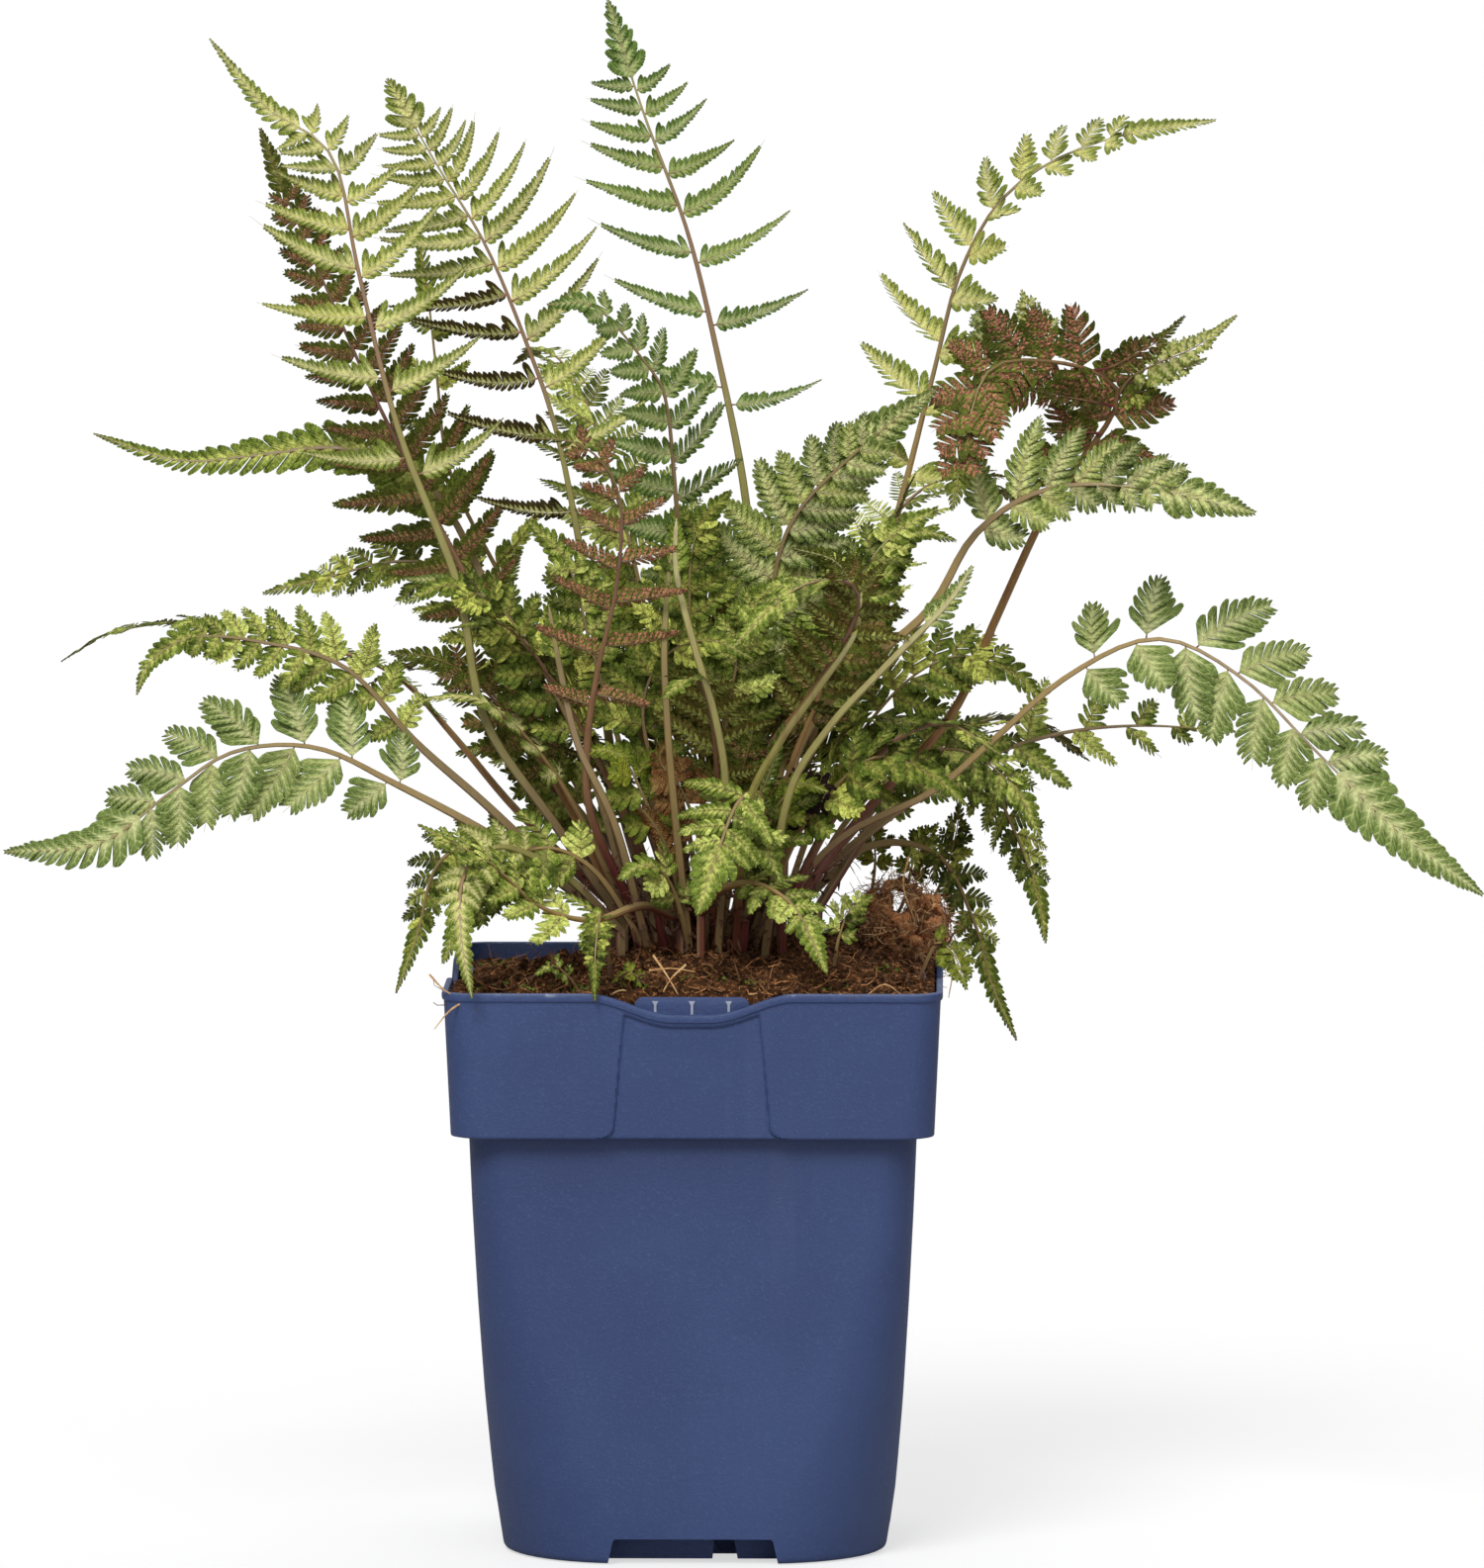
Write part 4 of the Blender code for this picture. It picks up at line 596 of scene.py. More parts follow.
def frames(spine, upper):
    # the directions along the spine, out of the blade's face and across it
    along = np.gradient(spine, axis=0)
    along /= np.linalg.norm(along, axis=1)[:, None]
    if upper is None:
        heading = spine[-1] - spine[0]
        heading[2] = 0
        heading /= np.linalg.norm(heading)
        out = along @ heading
        face = np.outer(-along[:, 2], heading)
        face[:, 2] = np.maximum(out, 0.15)
    else:
        face = np.tile(np.array(upper, float), (len(spine), 1))
    face -= along * (face * along).sum(axis=1)[:, None]
    face /= np.linalg.norm(face, axis=1)[:, None]
    return along, face, np.cross(along, face)


def at(values, share):
    place = share * (len(values) - 1)
    low = min(int(place), len(values) - 2)
    return values[low] * (1 - (place - low)) + values[low + 1] * (place - low)


lines = [[np.array(point, float) for point in frond["line"]] for frond in fronds.values()]
spreadRoots(lines)
spines = spreadSpines(np.array([smoothLine(line, spacing["samples"]) for line in lines]))
for name, spine in zip(fronds, spines):
    fronds[name]["spine"] = spine
print("frond lines done")


# one lobe of a leaflet: x runs from the rib to the tip, y along the rib, as shares of its length and width
lobeEdges = {
    1: ((0.0, 0.5), (0.45, 0.5), (0.80, 0.27)),
    2: ((0.0, 0.5), (0.40, 0.5), (0.68, 0.45), (0.70, 0.31), (0.88, 0.22)),
    3: ((0.0, 0.5), (0.36, 0.5), (0.57, 0.48), (0.59, 0.37), (0.77, 0.36), (0.79, 0.24), (0.92, 0.17)),
    4: ((0.0, 0.5), (0.32, 0.5), (0.48, 0.50), (0.50, 0.41), (0.66, 0.44), (0.68, 0.32), (0.83, 0.32),
        (0.85, 0.20), (0.95, 0.13)),
    5: ((0.0, 0.5), (0.22, 0.5), (0.38, 0.53), (0.41, 0.42), (0.56, 0.49), (0.59, 0.36), (0.73, 0.39),
        (0.76, 0.26), (0.87, 0.26), (0.90, 0.14), (0.97, 0.09)),
}


def lobeShape(edge, ridge):
    points = [(x, y, 0.0) for x, y in edge] + [(x, -y, 0.0) for x, y in edge] + [(1.0, 0.03, -0.01)]
    count, tip = len(edge), 2 * len(edge)
    tops = [len(points) + i for i in range(len(ridge))]
    points += [(x, 0.0, 0.085) for x in ridge]
    low = len(points)
    points.append((0.3, 0.0, -0.05))
    faces, under = [], []
    for side in (0, 1):
        chain = [side * count + i for i in range(count)] + [tip]
        rib = tops + [tip]
        i = j = 0
        while i < len(chain) - 1 or j < len(rib) - 1:
            nextEdge = points[chain[i + 1]][0] if i < len(chain) - 1 else 9
            nextRib = points[rib[j + 1]][0] if j < len(rib) - 1 else 9
            if nextEdge <= nextRib:
                face = (rib[j], chain[i], chain[i + 1])
                i += 1
            else:
                face = (rib[j], chain[i], rib[j + 1])
                j += 1
            if len(set(face)) == 3:
                faces.append(face[::-1] if side == 0 else face)
                under.append(0)
        for a, b in zip(chain, chain[1:]):
            faces.append((low, a, b) if side == 0 else (low, b, a))
            under.append(1)
    faces += [(tops[0], 0, low), (tops[0], low, count)]  # the closed end at the rib
    under += [0, 0]
    return {"points": np.array(points), "faces": np.array(faces), "under": np.array(under, float)}


lobeShapes = {kind: lobeShape(edge, (0.0, 0.5) if kind < 3 else (0.0, 0.4, 0.75))
              for kind, edge in lobeEdges.items()}
lobeJoins = {kind: edge[1][0] for kind, edge in lobeEdges.items()}


def unit(vectors):
    return vectors / np.linalg.norm(vectors, axis=-1, keepdims=True)


def dots(a, b):
    return (a * b).sum(axis=-1, keepdims=True)


def ringTube(points, radii, sides, upper=None, groove=0.0):
    # a closed tube; the groove runs along its upper side
    points = np.asarray(points, float)
    ahead = unit(np.gradient(points, axis=0))
    if upper is None:
        upper = np.tile(np.array([0.13, 0.31, 0.94]), (len(points), 1))
    up = unit(upper - ahead * dots(upper, ahead))
    across = np.cross(ahead, up)
    angles = np.arange(sides) * 2 * math.pi / sides
    reach = np.ones(sides)
    reach[0] -= groove
    ring = (up[:, None] * np.cos(angles)[None, :, None] + across[:, None] * np.sin(angles)[None, :, None])
    verts = points[:, None] + ring * reach[None, :, None] * np.asarray(radii)[:, None, None]
    count = len(points)
    faces = []
    for k in range(count - 1):
        for s in range(sides):
            a, b = k * sides + s, k * sides + (s + 1) % sides
            faces += [(a, b + sides, b), (a, a + sides, b + sides)]
    last = (count - 1) * sides
    faces += [(0, s, s + 1) for s in range(1, sides - 1)]
    faces += [(last, last + s + 1, last + s) for s in range(1, sides - 1)]
    around = np.tile(np.cos(angles) * 0.5 + 0.5, count)
    alongShare = np.repeat(np.linspace(0, 1, count), sides)
    return verts.reshape(-1, 3), np.array(faces)[:, ::-1], alongShare, around


class Leafage:
    # collects the arrays of one frond until they become its mesh
    def __init__(self):
        self.points, self.faces, self.slots, self.under = [], [], [], []
        self.leafMap, self.leafPlace, self.stipeMap = [], [], []
        self.count = 0

    def add(self, points, faces, slot, under=None, leafMap=None, leafPlace=None, stipeMap=None):
        self.points.append(points)
        self.faces.append(faces + self.count)
        self.slots.append(np.full(len(faces), slot))
        self.under.append(np.zeros(len(faces)) if under is None else under)
        blank = np.zeros((len(points), 4))
        self.leafMap.append(blank if leafMap is None else leafMap)
        self.leafPlace.append(blank if leafPlace is None else leafPlace)
        self.stipeMap.append(blank if stipeMap is None else stipeMap)
        self.count += len(points)

    def makePiece(self, name, paints, smoothAngle, node, slot, pointMaps, faceMaps=()):
        joined = {key: np.concatenate(getattr(self, key)) for key in ("points", "faces", "slots", *pointMaps)}
        under = {"leafUnder": np.concatenate(self.under)} if faceMaps else None
        return meshPiece(name, joined["points"], joined["faces"], paints, joined["slots"], smoothAngle, node,
                         {key: joined[key] for key in pointMaps}, under)

    def addTube(self, points, radii, sides, slot, upper=None, groove=0.0, chance=0.5, top=1.0):
        verts, faces, along, around = ringTube(points, radii, sides, upper, groove)
        data = np.stack([along * top, around, np.full(len(verts), chance), np.ones(len(verts))], axis=1)
        self.add(verts, faces, slot, stipeMap=data)

    def addLobes(self, kind, part, slot=0, web=None):
        # the lobe's base lies along the rib, so that neighbours meet in one blade as far as the web
        shape = lobeShapes[kind]
        x, y, z = shape["points"].T
        x = np.interp(x, (0, lobeJoins[kind], 1), (0, web or lobeJoins[kind], 1))
        length, width = part["length"][:, None], part["width"][:, None]
        edge = np.cross(part["out"], part["along"])
        up = np.where(dots(edge, part["up"]) < 0, -edge, edge)
        height = (z[None] * width - part["bend"][:, None] * (x ** 2)[None] * length
                  - 0.16 * (y ** 2)[None] * width + part["tilt"][:, None] * y[None] * width)
        verts = (part["root"][:, None] + part["out"][:, None] * (x[None] * length)[..., None]
                 + part["along"][:, None] * (y[None] * width)[..., None]
                 + unit(up)[:, None] * height[..., None])
        size, n = len(verts), len(x)
        turned = dots(np.cross(part["out"], part["along"]), part["up"])[:, 0] < 0
        faces = shape["faces"][None] + (np.arange(size) * n)[:, None, None]
        faces[turned] = faces[turned][..., ::-1]
        leafMap = np.ones((size, n, 4))
        leafMap[..., 0] = x[None]
        leafMap[..., 1] = np.minimum(1, np.abs(y) * 2)[None]
        leafMap[..., 2] = part["chance"][:, None]
        leafPlace = np.repeat(part["place"][:, None], n, axis=1)
        self.add(verts.reshape(-1, 3), faces.reshape(-1, 3), slot, np.tile(shape["under"], size),
                 leafMap.reshape(-1, 4), leafPlace.reshape(-1, 4))

    def addBlobs(self, middle, out, cross, normal, size, slot):
        base = np.array([(1, 0, 0), (-1, 0, 0), (0, 1, 0), (0, -1, 0), (0, 0, 1), (0, 0, -1)], float)
        faces = np.array([(0, 2, 4), (2, 1, 4), (1, 3, 4), (3, 0, 4), (2, 0, 5), (1, 2, 5), (3, 1, 5), (0, 3, 5)])
        turned = dots(np.cross(out, cross), normal)[:, 0] < 0
        verts = (middle[:, None] + out[:, None] * (base[:, 0][None] * size[:, 0:1])[..., None]
                 + cross[:, None] * (base[:, 1][None] * size[:, 1:2])[..., None]
                 + normal[:, None] * (base[:, 2][None] * size[:, 2:3])[..., None])
        allFaces = faces[None] + (np.arange(len(middle)) * 6)[:, None, None]
        allFaces[turned] = allFaces[turned][..., ::-1]
        self.add(verts.reshape(-1, 3), allFaces.reshape(-1, 3), slot)


def stations(length, first, last, start=0.0):
    # places along a rib whose gaps shrink from first to last
    places, run = [], start
    while True:
        gap = first + (last - first) * min(1, run / length)
        if run + gap * 0.5 > length:
            break
        places.append((run + gap / 2, gap))
        run += gap
    return np.array(places)


def bladeLobes(rib, up, places, half, slants, tone, place, curve, lobes):
    # lobes on both sides of a rib; half gives their reach square to it
    steps = np.concatenate([[0], np.cumsum(np.linalg.norm(np.diff(rib, axis=0), axis=1))])
    run, gap = places.T
    root = np.stack([np.interp(run, steps, rib[:, axis]) for axis in range(3)], axis=1)
    grade = np.gradient(rib, axis=0)
    ahead = unit(np.stack([np.interp(run, steps, grade[:, axis]) for axis in range(3)], axis=1))
    face = np.stack([np.interp(run, steps, up[:, axis]) for axis in range(3)], axis=1)
    face = unit(face - ahead * dots(face, ahead))
    count = len(run)
    share = run / steps[-1]
    for hand in (1, -1):
        lateral = np.cross(face, ahead) * hand
        slant = slants[0] + (slants[1] - slants[0]) * share + draw.normal(0, curve["fan"], count)
        slant = np.radians(slant)
        cup = np.radians(curve["cup"] + draw.normal(0, curve["loose"], count))
        lean = lateral * np.cos(cup)[:, None] + face * np.sin(cup)[:, None]
        out = unit(lean * np.cos(slant)[:, None] + ahead * np.sin(slant)[:, None])
        reach = half(share) * draw.uniform(0.9, 1.09, count) / np.cos(slant)
        if "ear" in curve and count > 3:  # the first lobe on the side of the tip is longer
            reach[0] *= curve["ear"] if hand == curve["earSide"] else 1.0
            reach *= 1.08 if hand == curve["earSide"] else curve["lower"]
        where = np.stack([share, np.full(count, place[0]), np.full(count, place[1]), np.ones(count)], axis=1)
        wave = draw.normal(0.0, 0.5) * 0.06
        lobes.append({"root": root, "out": out, "along": ahead, "up": face, "length": reach, "width": gap * 1.08,
                      "tilt": -0.22 + draw.normal(0, 0.10, count),
                      "chance": np.clip(tone + draw.normal(0, 0.12, count), 0, 1), "place": where,
                      "bend": curve["bend"] + wave + draw.normal(0, 0.05, count)})

def growPinna(settings, leafage, lobes, u, way, v, length, width):
    # one leaflet; u is its place on the frond, v its place on the blade, way 1 or -1 its side
    along, face, side = [at(values, u) for values in settings["frames"]]
    low, high = settings["forward"]
    aside = settings["aside"] * way * (1 - v ** 3)  # one side stands squarer to the rib than the other
    forward = math.radians(low + (high - low) * v + aside + draw.normal(0, 3.5))
    turned = settings["turned"] * (way < 0) * (v < 0.5)  # the left-hand leaflets rolled over
    twist = math.radians(settings["twist"] * (1 - 0.4 * v) + turned + draw.normal(0, settings["loose"]))
    lift = math.radians(settings["lift"] + draw.normal(0, 6.0))
    length *= draw.uniform(0.93, 1.06) * settings["sides"][0 if way > 0 else 1]
    out = side * way * math.cos(forward) + along * math.sin(forward)
    out = out * math.cos(lift) + face * math.sin(lift)
    normal = face * math.cos(twist) + along * math.sin(twist)
    normal = unit(normal - out * (normal @ out))
    curl = draw.normal(settings["curve"], 0.05) * length
    droop = (settings["droop"] + draw.normal(0, 0.05)) * length
    steps = np.linspace(0, 1, 9)[:, None]
    down = np.array([0, 0, -1.0])
    rib = (at(settings["spine"], u) + side * way * 0.3 + out * steps * length + along * curl * steps ** 2
           - face * 0.55 * droop * steps ** 2 + down * 0.6 * droop * steps ** 2.4)
    turn = steps * draw.normal(0, 0.16)
    up = normal * np.cos(turn) + np.cross(out, normal) * np.sin(turn)
    tone = draw.uniform(0.1, 0.9)
    radii = np.interp(steps[:, 0], (0, 1), (0.15 + 0.006 * length, 0.06))
    leafage.addTube(rib + up * 0.05, radii, 4, 4, up, 0.0, tone)
    gap = (0.85 + 0.155 * width) * settings["gap"]
    places = stations(length, gap, gap * 0.5, 0.2 + settings["stalk"] * max(0, 1 - 2 * v))

    def half(t):
        widest = np.minimum(1, 0.72 + 1.3 * t)
        return 0.5 * width * widest * np.maximum(0, 1 - t ** settings["taper"]) ** settings["point"] + 0.3

    curve = {"cup": settings["cup"], "loose": 6, "bend": settings["bend"], "fan": settings["fan"],
             "ear": settings["ear"], "lower": settings["lower"],
             "earSide": 1 if (np.cross(up[0], out) @ along) > 0 else -1}
    bladeLobes(rib, up, places, half, settings["slants"], tone, (v, settings["shade"]), curve, lobes)


frondLook = {"soilTop": 240, "sides": 8, "groove": 0.3, "footRadius": 1.45, "radii": (1.5, 1.15, 0.72, 0.18),
             "kinds": (2.3, 4.0, 5.6, 7.6)}  # lobes longer than these have more teeth
coats = {"tall": "pale_leaf", "young": "pale_leaf", "mottled": "pale_leaf", "dry": "fertile_leaf",
         "black": "dark_leaf"}


def growFrond(name):
    settings = {**usual, **fronds[name]}
    spine, start, switch, look = [settings[key] for key in ("spine", "start", "switch", "look")]
    settings["frames"] = frames(spine, settings["upper"])
    _, faces, laterals = settings["frames"]
    size = np.linalg.norm(np.diff(spine, axis=0), axis=1).sum()
    leafage, lobes = Leafage(), []
    rooted = spine[0][2] < frondLook["soilTop"]
    foot = spine[0] - (0, 0, 0.5)
    if rooted:
        foot = np.array([spine[0][0], spine[0][1], soilHeight(spine[0][0], spine[0][1]) - soilShape["sunk"]])
    shares = np.linspace(0, 1, 44)
    rib = np.array([foot] + [at(spine, share) for share in shares])
    upper = np.array([at(faces, 0)] + [at(faces, share) for share in shares])
    radii = np.interp(shares, (0, start - 0.06, start + 0.12, 1), frondLook["radii"]) * settings["thick"]
    radii = np.concatenate([[frondLook["footRadius"]], radii])
    leafage.addTube(rib, radii, frondLook["sides"], 1, upper, frondLook["groove"])
    near, far = settings["steps"] or (settings["step"] * 1.25, settings["step"] * 0.45)
    end, wide = settings["narrows"]
    u, step = start + 0.006, 3.0
    while True:  # leaflets, up to where they are too short to be cut
        v = (u - start) / (1 - start)
        fall = max(0.0, min(1.0, (end - v) / wide)) ** settings["fall"]
        shape = min(1.0, settings["first"] + v * 1.7) * fall
        length = settings["length"] * shape
        if length < switch:
            break
        step = far + (near - far) * (1 - v) ** settings["close"]
        width = min(settings["width"] * (0.55 + 0.5 * shape), step * settings["full"])
        for way, shift in ((1, 0.0), (-1, 0.22)):
            growPinna(settings, leafage, lobes, min(0.99, u + shift * step / size), way, v, length, width)
        u += step / size
    tipShares = np.linspace(u - 0.4 * step / size, 1, 24)  # the tip, cut into toothed lobes
    tipRib = np.array([at(spine, share) for share in tipShares])
    tipUp = np.array([at(faces, share) for share in tipShares])
    tipSize = np.linalg.norm(np.diff(tipRib, axis=0), axis=1).sum()
    most = min(length, switch)
    places = stations(tipSize, 0.8 + 0.40 * most, 1.3, 0.3)

    def half(t):
        return 0.92 * most * (1 - t ** settings["whip"]) ** 0.9 * 0.8 + 0.35

    curve = {"cup": settings["cup"], "loose": 4, "bend": 0.1, "fan": settings["fan"]}
    bladeLobes(tipRib, tipUp, places, half, (30, 54), 0.5, (0.9, settings["shade"]), curve, lobes)
    every = {key: np.concatenate([lobe[key] for lobe in lobes]) for key in lobes[0]}
    kinds = 1 + np.searchsorted(frondLook["kinds"], every["length"], side="right")
    kinds = np.minimum(kinds, settings["teeth"])
    for kind in np.unique(kinds):
        some = kinds == kind
        leafage.addLobes(int(kind), {key: value[some] for key, value in every.items()}, 0, settings["web"])
    if look == "fertile":
        addSori(leafage, every, settings["rows"], settings["swell"])
    if rooted:
        addScales(leafage, spine, faces, laterals, size)
    paints = [leafPaints[look], stipePaints[settings["stipe"]], sorusPaint, scalePaint, ribPaints[look]]
    node = None if settings["extra"] else "frond_" + name
    coat = settings.get("coat", coats.get(look, look + "_leaf"))
    leafage.makePiece("fern_" + name, paints, 38, node, coat, ("leafMap", "leafPlace", "stipeMap"), ("leafUnder",))
    return sum(len(faces) for faces in leafage.faces)


def addSori(leafage, every, rows, swell):
    # brown heaps in rows on the undersides, left out at the tip
    some = (every["length"] > 1.9) & (every["place"][:, 1] < 0.88)
    part = {key: value[some] for key, value in every.items()}
    length, width = part["length"], part["width"]
    edge = np.cross(part["out"], part["along"])
    up = unit(np.where(dots(edge, part["up"]) < 0, -edge, edge))
    for x in rows:
        for side in (1, -1):
            y = 0.24 * side * (1 - 0.35 * x)
            lift = 0.03 * width + part["bend"] * x * x * length - part["tilt"] * y * width
            middle = (part["root"] + part["out"] * (x * length)[:, None] + part["along"] * (y * width)[:, None]
                      - up * lift[:, None])
            slant = unit(part["out"] * 0.8 + part["along"] * side * 0.6)
            size = np.stack([0.11 * length + 0.10, 0.10 * width + 0.12, 0.06 * width + 0.12], axis=1)
            leafage.addBlobs(middle, slant, np.cross(up, slant), up,
                             size * swell * draw.uniform(0.8, 1.15, (len(middle), 1)), 2)


def addScales(leafage, spine, faces, laterals, size, count=16, highest=26):
    # chaff on the foot of the stipe
    u = draw.uniform(0.005, highest / size, count)
    angle = draw.uniform(0, 2 * math.pi, count)
    root = np.array([at(spine, share) for share in u])
    face = np.array([at(faces, share) for share in u])
    side = np.array([at(laterals, share) for share in u])
    away = face * np.cos(angle)[:, None] + side * np.sin(angle)[:, None]
    ahead = np.cross(face, side)
    out = unit(away * draw.uniform(0.3, 0.9, count)[:, None] - ahead * draw.uniform(-0.8, 1.0, count)[:, None])
    cross = unit(np.cross(out, away + 0.01))
    leafage.addLobes(1, {"root": root + away * 0.9, "out": out, "along": cross, "up": np.cross(out, cross),
                         "length": draw.uniform(2.5, 5.5, count), "width": draw.uniform(0.7, 1.3, count),
                         "chance": draw.uniform(0, 1, count), "place": np.zeros((count, 4)),
                         "tilt": np.zeros(count), "bend": draw.normal(0.2, 0.3, count)}, 3)


